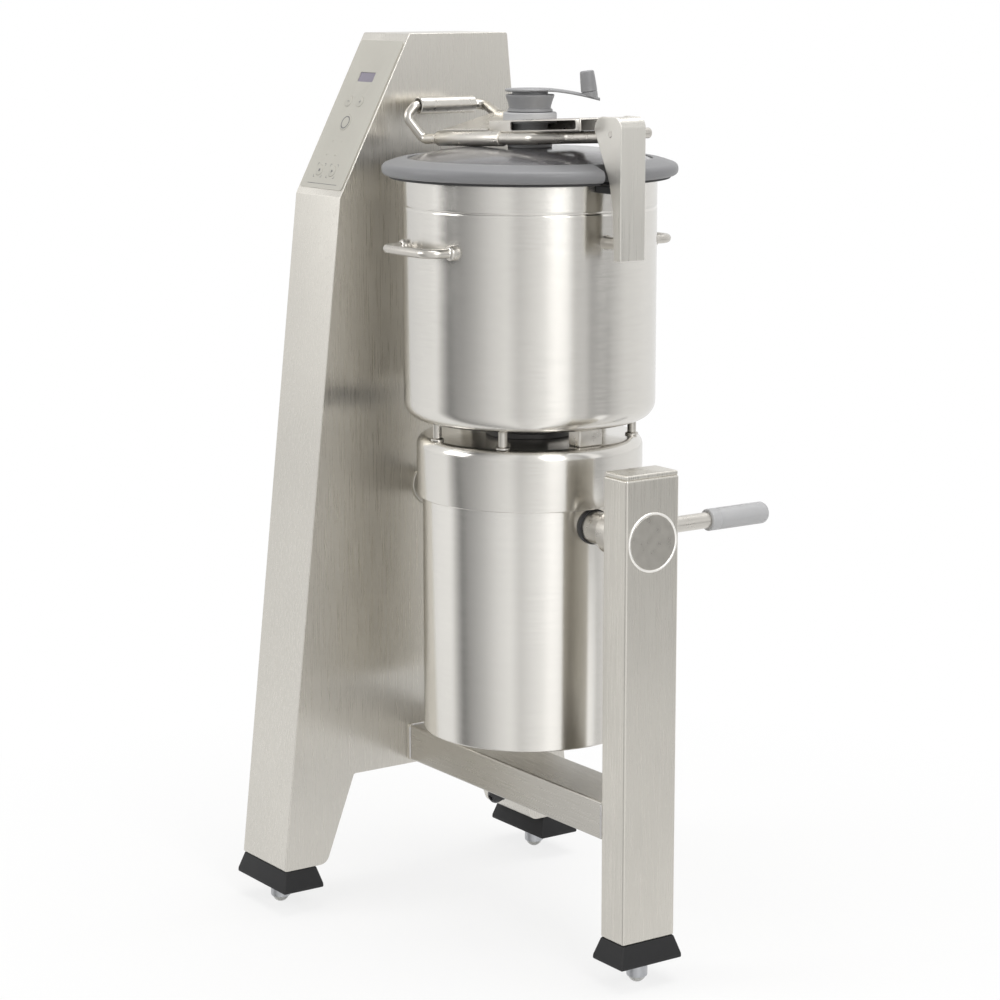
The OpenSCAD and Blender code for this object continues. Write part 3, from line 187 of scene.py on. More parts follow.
def weld(obj):
    """Joins vertices that lie at one place, and turns the faces outwards."""
    bm = bmesh.new()
    bm.from_mesh(obj.data)
    bmesh.ops.remove_doubles(bm, verts=bm.verts, dist=WELD_GAP)
    bmesh.ops.recalc_face_normals(bm, faces=bm.faces)
    bm.to_mesh(obj.data)
    bm.free()
    return obj


def bevel(obj, width, segments, angle=30):
    """Rounds the object's edges above an angle, width in millimetres."""
    m = obj.modifiers.new("round", "BEVEL")
    m.width = width * MM
    m.segments = segments
    m.limit_method = "ANGLE"
    m.angle_limit = math.radians(angle)
    m.harden_normals = True
    m.use_clamp_overlap = True
    return obj


def settle(obj):
    """Turns the object's modifiers into its mesh."""
    graph = bpy.context.evaluated_depsgraph_get()
    graph.update()
    mesh = bpy.data.meshes.new_from_object(obj.evaluated_get(graph))
    obj.modifiers.clear()
    obj.data = mesh
    smooth(mesh)


def carve(obj, cutters):
    """Cuts the cutters out of the object, and deletes them."""
    for cutter in cutters:
        m = obj.modifiers.new("cut", "BOOLEAN")
        m.operation = "DIFFERENCE"
        m.solver = "EXACT"
        m.object = cutter
    bpy.context.view_layer.update()
    settle(obj)
    for cutter in cutters:
        bpy.data.objects.remove(cutter)
    return obj


def join(name, objects):
    """One object from several, with their modifiers applied."""
    verts, faces = [], []
    for o in objects:
        settle(o)
        base = len(verts)
        verts += [o.matrix_world @ v.co for v in o.data.vertices]
        faces += [[base + i for i in f.vertices] for f in o.data.polygons]
        bpy.data.objects.remove(o)
    return make_object(name, verts, faces)


def ring_faces(rings, steps, looped=False):
    """Faces between rings of corners: with both ends closed, or with the last ring back to the first."""
    faces = []
    if not looped:
        faces = [list(range(steps))[::-1], [(rings - 1) * steps + k for k in range(steps)]]
    for i in range(rings if looped else rings - 1):
        a, b = i * steps, (i + 1) % rings * steps
        for k in range(steps):
            j = (k + 1) % steps
            faces.append([a + k, a + j, b + j, b + k])
    return faces


def lathe(name, profile, place=(0, 0, 0), axis=None, segments=128, closed=True, matrix=None):
    """Turns a profile of radius and height round Z, and lays it in a frame, or along an axis at a place."""
    verts, faces = [], []
    for k in range(segments):
        w = math.radians(360 * k / segments)
        for r, z in profile:
            verts.append(Vector((r * MM * math.cos(w), r * MM * math.sin(w), z * MM)))
    n = len(profile)
    for k in range(segments):
        a, b = k * n, (k + 1) % segments * n
        for i in range(n if closed else n - 1):
            j = (i + 1) % n
            face = [a + i, b + i, b + j, a + j]
            if profile[i][0] == 0:
                face.remove(b + i)
            if profile[j][0] == 0:
                face.remove(b + j)
            if len(face) > 2:
                faces.append(face)
    obj = weld(make_object(name, verts, faces))
    obj.data.transform(frame_at(place, axis) if matrix is None else matrix)
    return obj


def bent_line(points, bend):
    """Places along a path, rounded at its inner points to one radius or to a list of them."""
    points = [Vector(p) for p in points]
    made = [points[0]]
    bends = bend if isinstance(bend, list) else [bend] * len(points)
    for a, b, c, r in zip(points, points[1:], points[2:], bends):
        u, v = unit(b - a), unit(c - b)
        turn = math.acos(max(-1, min(1, u.dot(v))))
        n = unit(v - u * u.dot(v))
        centre = b - u * (r * math.tan(turn / 2)) + n * r
        for k in range(BEND_STEPS + 1):
            w = turn * k / BEND_STEPS
            made.append(centre + (u * math.sin(w) - n * math.cos(w)) * r)
    made.append(points[-1])
    return made


def sweep(name, line, radius, sides):
    """A round bar along a line of places."""
    line = [Vector(p) for p in line]
    steps = [unit(b - a) for a, b in zip(line, line[1:])]
    ways = [unit(a + b) for a, b in zip(steps[:1] + steps, steps + steps[-1:])]
    side = Vector((0, 0, 1)) if abs(ways[0].z) < 0.9 else Vector((0, 1, 0))
    verts = []
    for p, w in zip(line, ways):
        side = unit(side - w * side.dot(w))
        other = w.cross(side)
        for j in range(sides):
            t = 2 * math.pi * j / sides
            verts.append(at(*(p + (side * math.cos(t) + other * math.sin(t)) * radius)))
    return make_object(name, verts, ring_faces(len(line), sides), angle=50)


def prism(name, outline, low, high, along="x", matrix=None):
    """An outline drawn along an axis: y and z along x, x and z along y, or x and y along z."""
    verts = []
    for h in (low, high):
        for p in outline:
            corner = list(p)
            corner.insert("xyz".index(along), h)
            verts.append(at(*corner) if matrix is None else matrix @ (Vector(corner) * MM))
    return weld(make_object(name, verts, ring_faces(2, len(outline))))


def block(name, low, high, matrix=None):
    """A box between two corners, in millimetres."""
    return prism(name, rectangle(*low[:2], *high[:2]), low[2], high[2], "z", matrix)


# Materials

WHITE = (1.0, 1.0, 1.0)
NOISE_LOW = 0.3
NOISE_HIGH = 0.7
# Pointiness range of the brightened edges: wear, and a painted highlight
WEAR_AND_HIGHLIGHT_START = 0.52
WEAR_AND_HIGHLIGHT_END = 0.60


def feed(tree, node, inputs):
    """Gives inputs of a node their values, or links where sockets are given."""
    for key, value in inputs.items():
        if isinstance(value, bpy.types.NodeSocket):
            tree.links.new(value, node.inputs[key])
        else:
            node.inputs[key].default_value = value


def add(tree, kind, inputs=None, **settings):
    """A new shader node."""
    node = tree.nodes.new("ShaderNode" + kind)
    for key, value in settings.items():
        setattr(node, key, value)
    feed(tree, node, inputs or {})
    return node


def node_material(name):
    mat = bpy.data.materials.new(name)
    mat.use_nodes = True
    tree = mat.node_tree
    return mat, tree, tree.nodes["Principled BSDF"]


def noise(tree, scale, detail, stretch=(1, 1, 1)):
    """Noise in object space, stretched along the axes."""
    coord = add(tree, "TexCoord")
    mapping = add(tree, "Mapping", {"Vector": coord.outputs["Object"], "Scale": [scale * s for s in stretch]})
    inputs = {"Vector": mapping.outputs["Vector"], "Scale": 1.0, "Detail": detail, "Roughness": 0.55}
    return add(tree, "TexNoise", inputs).outputs["Fac"]


def ramp(tree, source, low, high):
    """A ramp between two colours over a noise's range."""
    node = add(tree, "ValToRGB", {"Fac": source})
    for element, place, colour in zip(node.color_ramp.elements, (NOISE_LOW, NOISE_HIGH), (low, high)):
        element.position = place
        element.color = (*colour, 1)
    return node.outputs["Color"]


def remap(tree, source, low, high, start=NOISE_LOW, end=NOISE_HIGH):
    """Takes the range from start to end to the one from low to high."""
    inputs = {"Value": source, "From Min": start, "From Max": end, "To Min": low, "To Max": high}
    return add(tree, "MapRange", inputs).outputs["Result"]


def mix(tree, factor, a, b, blend="MIX"):
    """Two colours mixed."""
    inputs = {"Factor": factor, "A": a, "B": b}
    return add(tree, "Mix", inputs, data_type="RGBA", blend_type=blend).outputs["Result"]


def edge_wear_and_highlight(tree, colour, gain):
    """Brightens a colour along convex edges: partly wear, partly a painted highlight."""
    geometry = add(tree, "NewGeometry")
    wear_and_highlight = remap(tree, geometry.outputs["Pointiness"], 0.0, gain, WEAR_AND_HIGHLIGHT_START, WEAR_AND_HIGHLIGHT_END)
    return mix(tree, wear_and_highlight, colour, (*WHITE, 1), "ADD")


def bump(tree, shader, source, height, strength):
    node = add(tree, "Bump", {"Strength": strength, "Distance": height * MM, "Height": source})
    feed(tree, shader, {"Normal": node.outputs["Normal"]})


def shade(colour, factor):
    return tuple(min(1.0, c * factor) for c in colour)


def steel(name, colour, rough, grain, stretch, scratch, smudge=0.06, depth=1.0, anisotropy=0.0, rotation=0.0):
    """Metal with a brushed grain: stretch is small along it, scratch is its height, depth its contrast."""
    mat, tree, shader = node_material(name)
    fine = noise(tree, grain, 5.0, stretch)
    base = ramp(tree, fine, shade(colour, 1 - 0.07 * depth), shade(colour, 1 + 0.05 * depth))
    clouds = ramp(tree, noise(tree, 7.0, 3.0), shade(WHITE, 1 - smudge), WHITE)
    lines = ramp(tree, noise(tree, grain * 0.23, 3.0, stretch), shade(WHITE, 1 - 0.05 * depth), WHITE)
    mixed = mix(tree, 1.0, mix(tree, 1.0, base, clouds, "MULTIPLY"), lines, "MULTIPLY")
    feed(tree, shader, {
        # Edges brightened: wear, and a painted highlight
        "Base Color": edge_wear_and_highlight(tree, mixed, 0.12),
        "Roughness": remap(tree, fine, rough * 0.8, rough * 1.25),
        "Metallic": 1.0,
        "Anisotropic": anisotropy,
        "Anisotropic Rotation": rotation,
    })
    bump(tree, shader, fine, scratch, 0.35)
    return mat


def plastic(name, colour, rough, grain, height, mottling, coat=0.0, specular=0.5):
    """Moulded plastic or rubber with a fine texture."""
    mat, tree, shader = node_material(name)
    fine = noise(tree, grain, 3.0)
    broad = noise(tree, 18.0, 4.0)
    base = ramp(tree, broad, shade(colour, 1 - mottling), shade(colour, 1 + mottling))
    specks = ramp(tree, fine, shade(WHITE, 0.96), WHITE)
    feed(tree, shader, {
        # Edges brightened: wear, and a painted highlight
        "Base Color": edge_wear_and_highlight(tree, mix(tree, 1.0, base, specks, "MULTIPLY"), 0.05),
        "Roughness": remap(tree, broad, rough * 0.88, rough * 1.12),
        "Coat Weight": coat,
        "Specular IOR Level": specular,
    })
    bump(tree, shader, fine, height, 0.4)
    return mat


def clear_plastic(name, colour, rough):
    mat, tree, shader = node_material(name)
    feed(tree, shader, {
        "Base Color": ramp(tree, noise(tree, 30.0, 3.0), shade(colour, 0.95), colour),
        "Roughness": remap(tree, noise(tree, 500.0, 2.0), rough * 0.8, rough * 1.3),
        "Transmission Weight": 0.85,
        "IOR": 1.49,
    })
    return mat


# How fine the grain is along x, y and z
UP = (1, 1, 0.012)
ROUND = (0.012, 0.012, 1)
LEVEL = (0.012, 1, 1)
SIDEWAYS = (1, 0.05, 1)
EVEN = (1, 1, 1)

M = {
    "sheet": steel("brushed_sheet_steel", (0.70, 0.675, 0.62), 0.30, 900, UP, 0.004, 0.05, 0.2, 0.55),
    "cover": steel("brushed_cover_steel", (0.70, 0.68, 0.64), 0.33, 900, UP, 0.005, 0.05, 0.25, 0.5),
    # The beam's steel is a darker copy of the stand's steel: painted shade where the barrel shadows the beam.
    "beam": steel("beam_steel_darkened_as_painted_shade", (0.50, 0.48, 0.44), 0.30, 900, LEVEL, 0.005, 0.05, 0.25),
    "post": steel("brushed_post_steel", (0.66, 0.635, 0.58), 0.30, 900, UP, 0.004, 0.05, 0.2, 0.5),
    "bracket": steel("satin_bracket_steel", (0.69, 0.67, 0.62), 0.32, 700, UP, 0.003, 0.04, 0.12, 0.3),
    "disc": steel("spun_disc_steel", (0.48, 0.46, 0.42), 0.32, 90, EVEN, 0.0005, 0.03, 0.3),
    # The rim's near-white steel is a brightened copy: a painted highlight round the pivot disc.
    "rim": steel("rim_steel_brightened_as_painted_highlight", (0.96, 0.94, 0.90), 0.38, 90, EVEN, 0.0005, 0.02, 0.2),
    "bowl": steel("turned_bowl_steel", (0.73, 0.71, 0.67), 0.20, 2600, ROUND, 0.001, 0.03, 0.5, 0.75, 0.25),
    "bright": steel("bright_rod_steel", (0.58, 0.555, 0.51), 0.30, 60, EVEN, 0.0005, 0.03, 0.3),
    "satin": steel("satin_steel", (0.62, 0.61, 0.60), 0.34, 700, EVEN, 0.015, 0.08),
    "zinc": steel("zinc_plated_steel", (0.50, 0.51, 0.53), 0.42, 300, EVEN, 0.03, 0.15),
    "ground": steel("ground_steel", (0.66, 0.66, 0.68), 0.18, 1600, ROUND, 0.008),
    "blade": steel("ground_blade_steel", (0.72, 0.72, 0.74), 0.16, 1300, SIDEWAYS, 0.008),
    "cast": steel("cast_aluminium", (0.50, 0.51, 0.53), 0.55, 350, EVEN, 0.08, 0.15),
    "iron": steel("laminated_iron", (0.26, 0.27, 0.29), 0.5, 1400, ROUND, 0.03),
    "copper": steel("enamelled_copper", (0.62, 0.30, 0.14), 0.35, 1200, ROUND, 0.06),
    "film": plastic("panel_film", (0.42, 0.405, 0.355), 0.42, 700, 0.01, 0.03),
    "key": plastic("key_cap", (0.43, 0.415, 0.365), 0.38, 800, 0.008, 0.02),
    "print": plastic("printed_marks", (0.10, 0.10, 0.10), 0.6, 700, 0.005, 0.05),
    "display": plastic("display_window", (0.17, 0.15, 0.20), 0.12, 300, 0.002, 0.08, 0.6),
    "board": plastic("board_laminate", (0.02, 0.12, 0.05), 0.4, 500, 0.02, 0.15),
    "drive": plastic("drive_case", (0.09, 0.09, 0.10), 0.5, 500, 0.05, 0.1),
    "gland": plastic("gland_plastic", (0.025, 0.025, 0.027), 0.4, 600, 0.02, 0.1),
    "rubber": plastic("black_rubber", (0.014, 0.014, 0.015), 0.62, 420, 0.08, 0.2, 0.0, 0.25),
    "ball": plastic("ball_plastic", (0.60, 0.60, 0.58), 0.3, 500, 0.01, 0.04, 0.2),
    "grey": plastic("grey_plastic", (0.245, 0.245, 0.25), 0.42, 650, 0.025, 0.05),
    "ring": plastic("ring_plastic", (0.20, 0.20, 0.205), 0.45, 650, 0.025, 0.05),
    "grip": plastic("grip_plastic", (0.45, 0.45, 0.455), 0.5, 650, 0.03, 0.05),
    "dark": plastic("dark_plastic", (0.07, 0.068, 0.066), 0.42, 600, 0.02, 0.12),
    "wiper": plastic("wiper_plastic", (0.060, 0.040, 0.085), 0.38, 600, 0.02, 0.1),
    "dome": clear_plastic("smoky_dome", (0.42, 0.41, 0.42), 0.16),
}


def dress(obj, material, body, slot, *replaced):
    """Gives a piece its material and its body, and hides the CAD nodes it stands for. The slot is not used.
    """
    obj.data.materials.clear()
    obj.data.materials.append(M[material])
    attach(obj, body)
    if replaced:
        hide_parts(*replaced)


# Column

def column_casing():
    shape = rounded(COLUMN_POINTS, COLUMN_RADII)
    inner = rounded(inset(COLUMN_POINTS, SHEET), INNER_RADII)
    rows = [(inner, COLUMN_IN - SHEET), (inner, COLUMN_OUT), (shape, COLUMN_OUT), (shape, COLUMN_IN)]
    verts = [at(x, y, z) for outline, x in rows for y, z in outline]
    obj = weld(make_object("column_shell", verts, ring_faces(4, len(shape))))
    bevel(obj, 2.4, 4, 40)
    dress(obj, "sheet", "stand", "brushed_sheet", "column_casing")


COVER_GAP = 0.35
SEAT_GAP = 0.1
VENT_LEVELS = (231.5, 687)
VENT_COUNT = 9
VENT_PITCH = 12
VENT_HALF = 23
VENT_R = 2


def side_cover():
    shape = rounded(inset(COLUMN_POINTS, SHEET + COVER_GAP), INNER_RADII)
    obj = prism("side_panel", shape, COLUMN_OUT + SEAT_GAP, COLUMN_OUT + SHEET)
    slots = []
    end = VENT_HALF - VENT_R
    for level in VENT_LEVELS:
        for i in range(VENT_COUNT):
            middle = level + i * VENT_PITCH + VENT_R
            outline = arc(end, middle, VENT_R, -90, 90) + arc(-end, middle, VENT_R, 90, 270)
            slots.append(prism("slot", outline, COLUMN_OUT - SHEET, COLUMN_OUT + 2 * SHEET))
    carve(obj, [join("slots", slots)])
    bevel(obj, 0.5, 2, 40)
    dress(obj, "cover", "stand", "cover_steel", "side_cover")


def hex_radius(flat, w):
    """Distance from the middle of a hexagon to its edge in a direction."""
    return flat / math.cos((w + math.pi / 6) % (math.pi / 3) - math.pi / 6)


def hex_piece(name, rings, steps, place, axis, looped=False):
    """A turned piece from rings of radius, height and flat, six-sided where the flat isn't 0."""
    verts = []
    for radius, z, flat in rings:
        for k in range(steps):
            w = 2 * math.pi * k / steps
            q = min(hex_radius(flat, w), radius) if flat else radius
            verts.append(Vector((q * math.cos(w), q * math.sin(w), z)) * MM)
    obj = weld(make_object(name, verts, ring_faces(len(rings), steps, looped)))
    obj.data.transform(frame_at(place, axis))
    return obj


def screw_head(name, place, axis, r=4.5, h=1.8, socket=1.5):
    """A button head with a hexagonal socket."""
    rings = [
        (r, 0, 0), (r, h * 0.35, 0), (r * 0.9, h * 0.75, 0), (r * 0.68, h, 0),
        (socket * 1.2, h, socket), (socket * 1.2, h * 0.3, socket),
    ]
    return hex_piece(name, rings, 24, place, axis)


def cover_screws():
    line = inset(COLUMN_POINTS, SHEET + 7)
    places = line + [tuple((Vector(line[i]) + Vector(line[i + 1])) / 2) for i in (0, 1, 3)]
    heads = [screw_head("screw", (COLUMN_OUT + SEAT_GAP, *p), (-1, 0, 0)) for p in places]
    dress(join("cover_screw_heads", heads), "ground", "stand", "bearing_steel", "cover_screws")


# Control panel, drawn in a frame that lies in the slanted face with its origin at the face's foot

PANEL_RISE = math.atan2(FACE_HEAD[1] - FACE_FOOT[1], FACE_HEAD[0] - FACE_FOOT[0])
PANEL = Matrix.Translation(at(COLUMN_MID, *FACE_FOOT)) @ Matrix.Rotation(PANEL_RISE, 4, "X")
PANEL_OUTLINE = (-56, 10, 56, 240)
PANEL_T = 1.2
KEY_TOP = PANEL_T + 0.6
PRINT_HALF = 0.05
DISPLAY = (-21, 175.5, 19, 190.5)
LOWER_KEYS_Y = 37
# Middle and radius
KEYS = {
    "minus_key": (-20.5, 144.5, 8),
    "plus_key": (9.5, 144.5, 8),
    "pulse_key": (-5.5, 112, 12),
    "stop_key": (-20.5, LOWER_KEYS_Y, 8),
    "start_key": (13.5, LOWER_KEYS_Y, 8),
}
LAMPS = [(-20.5, 62, 2.0), (3, 62, 2.0), (-18.5, 83, 1.6), (4.5, 83, 1.6)]


def panel_turned(name, profile, x, y):
    """A round piece that stands on the panel."""
    return lathe(name, profile, segments=64, matrix=PANEL @ Matrix.Translation(Vector((x, y, 0)) * MM))


def disc(name, x, y, r, low, high, edge=0.3):
    """A flat disc on the panel, with a rounded top edge."""
    lip = edge * 0.3
    profile = [(0, low), (r, low), (r, high - edge), (r - lip, high - lip), (r - edge, high), (0, high)]
    return panel_turned(name, profile, x, y)


def control_panel():
    plate = prism("panel_plate", rounded(rectangle(*PANEL_OUTLINE), [5] * 4), 0.02, PANEL_T, "z", PANEL)
    holes = [disc("hole", x, y, r + 0.3, -2, 4) for x, y, r in KEYS.values()]
    window = rounded(rectangle(*DISPLAY), [1.5] * 4)
    holes.append(prism("hole", window, -2, 4, "z", PANEL))
    carve(plate, holes)
    dress(plate, "film", "stand", "panel_film", "control_panel")
    glass = prism("display_glass", window, -1, 0.5, "z", PANEL)
    bevel(glass, 0.3, 2)
    dress(glass, "display", "stand", "display_glass", "display_window")


def mark(name, outlines, body, top):
    """Printed marks that lie on the panel or on a key."""
    bits = [prism("bit", o, top - PRINT_HALF, top + PRINT_HALF, "z", PANEL) for o in outlines]
    dress(join(name, bits), "print", body, "panel_film")


def bar(x, y, w, h):
    """A rectangle round a middle."""
    return rectangle(x - w / 2, y - h / 2, x + w / 2, y + h / 2)


def corner_brackets(x, y, half, leg, t):
    """Four corner brackets round a middle."""
    made = []
    for sx in (-1, 1):
        for sy in (-1, 1):
            made.append(bar(x + sx * (half - leg / 2), y + sy * half, leg, t))
            made.append(bar(x + sx * half, y + sy * (half - leg / 2), t, leg))
    return made


# Printed outlines, counted from each key's middle
MARKS = {
    "minus_key": [bar(0, 0, 5, 1.1)],
    "plus_key": [bar(0, 0, 5, 1.1), bar(0, 1.6, 1.1, 1.9), bar(0, -1.6, 1.1, 1.9)],
    "stop_key": [bar(0, 0, 4, 4)],
    "start_key": [[(-2, -2.6), (2.8, 0), (-2, 2.6)]],
}


def keys_and_marks():
    for name, (x, y, r) in KEYS.items():
        cap = disc(name + "_cap", x, y, r, -0.6, KEY_TOP, 0.5)
        dress(cap, "key", name, "panel_film", name)
    for name, (x, y, r) in KEYS.items():
        if name in MARKS:
            outlines = [[(x + px, y + py) for px, py in o] for o in MARKS[name]]
            mark(name.replace("key", "mark"), outlines, name, KEY_TOP)
        else:
            profile = rectangle(r - 4, KEY_TOP - PRINT_HALF, r - 2.2, KEY_TOP + PRINT_HALF)
            dress(panel_turned("pulse_ring", profile, x, y), "print", name, "panel_film")
    brackets = []
    for name in ("stop_key", "start_key"):
        brackets += corner_brackets(*KEYS[name][:2], 10.5, 3.5, 0.8)
    mark("key_brackets", brackets, "stand", PANEL_T)
    mark("panel_line", [bar(0, 17, 78, 0.8)], "stand", PANEL_T)
    lamps = [disc("lamp", x, y, r, PANEL_T - 0.2, PANEL_T + 0.3) for x, y, r in LAMPS]
    dress(join("indicator_lamps", lamps), "film", "stand", "panel_film")


# Cable gland, on the rear leg's inner face

LEG_LEAN = math.atan2(REAR_LEG_IN - ARCH_HALF, ARCH_Z - LEG_Z)
GLAND_RISE = 34
GLAND_AXIS = (0, -math.cos(LEG_LEAN), -math.sin(LEG_LEAN))
GLAND_AT = (COLUMN_MID, REAR_LEG_IN - GLAND_RISE * math.tan(LEG_LEAN), LEG_Z + GLAND_RISE)


def gland_nut(low, high, r=14, hole=10.5, chamfer=0.8):
    """A hexagonal nut with a round hole and chamfered corners."""
    rings = [
        (hole, low, 0), (r * 0.93, low, 0), (r, low + chamfer, r * 0.9),
        (r, high - chamfer, r * 0.9), (r * 0.93, high, 0), (hole, high, 0),
    ]
    return hex_piece("nut", rings, 48, GLAND_AT, GLAND_AXIS, looped=True)


def cable_gland():
    body = [
        (5, -12), (10.9, -12), (10.9, 9), (12, 9.5), (12, 17), (11, 20), (8.4, 23), (6.2, 24), (5, 23.6),
    ]
    parts = [gland_nut(0, 6), gland_nut(-8, -2), lathe("body", body, GLAND_AT, GLAND_AXIS, 64)]
    dress(join("gland_body", parts), "gland", "stand", "black_plastic", "cable_gland")


# Stand

POST_TOP = 692
CAP_TOP = 698
FOOT_X = COLUMN_IN + 6


def rod_profile(r, low, high):
    """A turned solid bar with chamfered ends."""
    return [(0, low), (r - 1, low), (r, low + 1), (r, high - 1), (r - 1, high), (0, high)]


def mirrored(half):
    """A profile from its upper half, mirrored at height 0."""
    return [(r, -z) for r, z in half] + half[::-1]


def stand():
    y = POST_HALF
    post = (POST_IN, -y, LEG_Z), (POST_OUT, y, POST_TOP)
    cap = (POST_IN + 1, 1 - y, POST_TOP - 0.5), (POST_OUT - 1, y - 1, CAP_TOP)
    beam = (FOOT_X - 0.5, -y, BEAM_LOW), (POST_IN + 0.5, y, BEAM_HIGH)
    flange = (COLUMN_IN - 0.2, -y, BEAM_LOW), (FOOT_X, y, BEAM_HIGH)
    boxes = [
        ("post_tube", *post, 3, 5, "post", "support_post"),
        ("post_cap", *cap, 2.2, 4, "post", "post_top_cap"),
        # The beam takes the darker steel, a painted shade.
        ("beam_tube", *beam, 3, 5, "beam", "base_beam"),
        ("beam_foot", *flange, 1, 3, "post", "beam_flange"),
    ]
    for name, low, high, width, segments, material, node in boxes:
        obj = bevel(block(name, low, high), width, segments)
        dress(obj, material, "stand", "brushed_sheet", node)
    pivot = (POST_OUT, 0, PIVOT_Z)
    profile = [(0, 0), (36.2, 0), (36.2, 0.8), (35.8, 1.2), (35, 1.2), (0, 1.2)]
    cover = lathe("pivot_disc", profile, pivot, ALONG_X)
    dress(cover, "disc", "stand", "polished_steel", "pivot_cover")
    # A rim of the near-white steel round the pivot disc: a painted highlight.
    profile = [(36.4, 0), (39.8, 0), (39.8, 0.5), (39.4, 1.1), (38.6, 1.45), (37.8, 1.45), (36.9, 1.1)]
    rim = lathe("pivot_rim", profile + [(36.4, 0.5)], pivot, ALONG_X)
    dress(rim, "rim", "stand", "polished_steel")
    profile = [(17.6, 0.4), (18.2, -0.2), (31.4, -0.2), (32, 0.4), (32, 2.4), (31.4, 3), (18.2, 3)]
    profile.append((17.6, 2.4))
    flanges = []
    for x, way in ((POST_IN, -1), (COLUMN_IN, 1)):
        flanges.append(lathe("bush", profile, (x, 0, PIVOT_Z), (way, 0, 0), 96))
    dress(join("bearing_flanges", flanges), "disc", "stand", "bronze", "pivot_bearings")


BEAD_R = 1.6
BEAD_STEP = 2.2


def weld_bead(start, end):
    """A bead between two places."""
    a, b = Vector(start), Vector(end)
    steps = max(2, int((b - a).length / BEAD_STEP))
    return sweep("bead", [a + (b - a) * (k / steps) for k in range(steps + 1)], BEAD_R, 12)


def stand_welds():
    y = POST_HALF
    beads = []
    for x in (POST_IN - 0.2, FOOT_X):
        for z in (BEAM_HIGH, BEAM_LOW):
            beads.append(weld_bead((x, 3 - y, z), (x, y - 3, z)))
        for side in (-y, y):
            beads.append(weld_bead((x, side, BEAM_LOW + 3), (x, side, BEAM_HIGH - 3)))
    dress(join("beam_welds", beads), "satin", "stand", "brushed_sheet")


FOOT_LOW = 33
FOOT_FLARE = 8
FEET_Y = 227.5
BALL_R = 12.5
BALL_STEPS = 24
SOCKET_R = 12.56
BALLS = {"front_ball": (COLUMN_MID, -FEET_Y), "rear_ball": (COLUMN_MID, FEET_Y), "post_ball": (POST_MID, 0)}


def foot(name, x, y, w, d):
    """A rubber block that flares downwards."""
    verts = []
    for z, flare in ((FOOT_LOW, FOOT_FLARE), (FOOT_LOW + 6, FOOT_FLARE - 0.4), (LEG_Z, 0)):
        half_w, half_d = w / 2 + flare, d / 2 + flare
        verts += [at(px, py, z) for px, py in rectangle(x - half_w, y - half_d, x + half_w, y + half_d)]
    return bevel(make_object(name, verts, ring_faces(3, 4)), 2.5, 4)


def ball_profile():
    """A half circle from pole to pole. Its widest row lies a little inside the ball."""
    profile = []
    for k in range(BALL_STEPS + 1):
        w = math.radians(180 * k / BALL_STEPS - 90)
        r = BALL_R - 0.08 if k == BALL_STEPS // 2 else BALL_R
        profile.append((r * math.cos(w) if 0 < k < BALL_STEPS else 0, BALL_R * math.sin(w)))
    return profile


def feet():
    pair = [foot("foot", COLUMN_MID, side * FEET_Y, 120, 51) for side in (-1, 1)]
    dress(join("column_foot_pads", pair), "rubber", "stand", "black_rubber", "column_feet")
    pad = foot("post_foot_pad", POST_MID, 0, POST_OUT - POST_IN, 2 * POST_HALF)
    dress(pad, "rubber", "stand", "black_rubber", "post_foot")
    cup = [(0, 50), (14.2, 50), (14.2, 11), (13.6, 9.4), (12.6, 9.0), (12.1, 9.6)]
    cup += arc(0, BALL_R, SOCKET_R, -10, 80, 9) + [(0, BALL_R + SOCKET_R)]
    cups = [lathe("cup", cup, (x, y, 0), None, 64) for x, y in BALLS.values()]
    dress(join("caster_sockets", cups), "zinc", "stand", "zinc_steel", "caster_cups")
    for name, (x, y) in BALLS.items():
        ball = lathe(name + "_shell", ball_profile(), (x, y, BALL_R), ALONG_X, 48, closed=False)
        dress(ball, "ball", name, "ball_plastic", name)


# Motor unit

MOTOR_WALL = 2.5
COLLAR_BEND = 14
JOURNAL_R = 17.5
REST_TOP = BOWL_LOW - 0.4
STUD_ANGLES = (-98, -50, 50, 98)
STUD_REACH = 140
LUG_X = 128


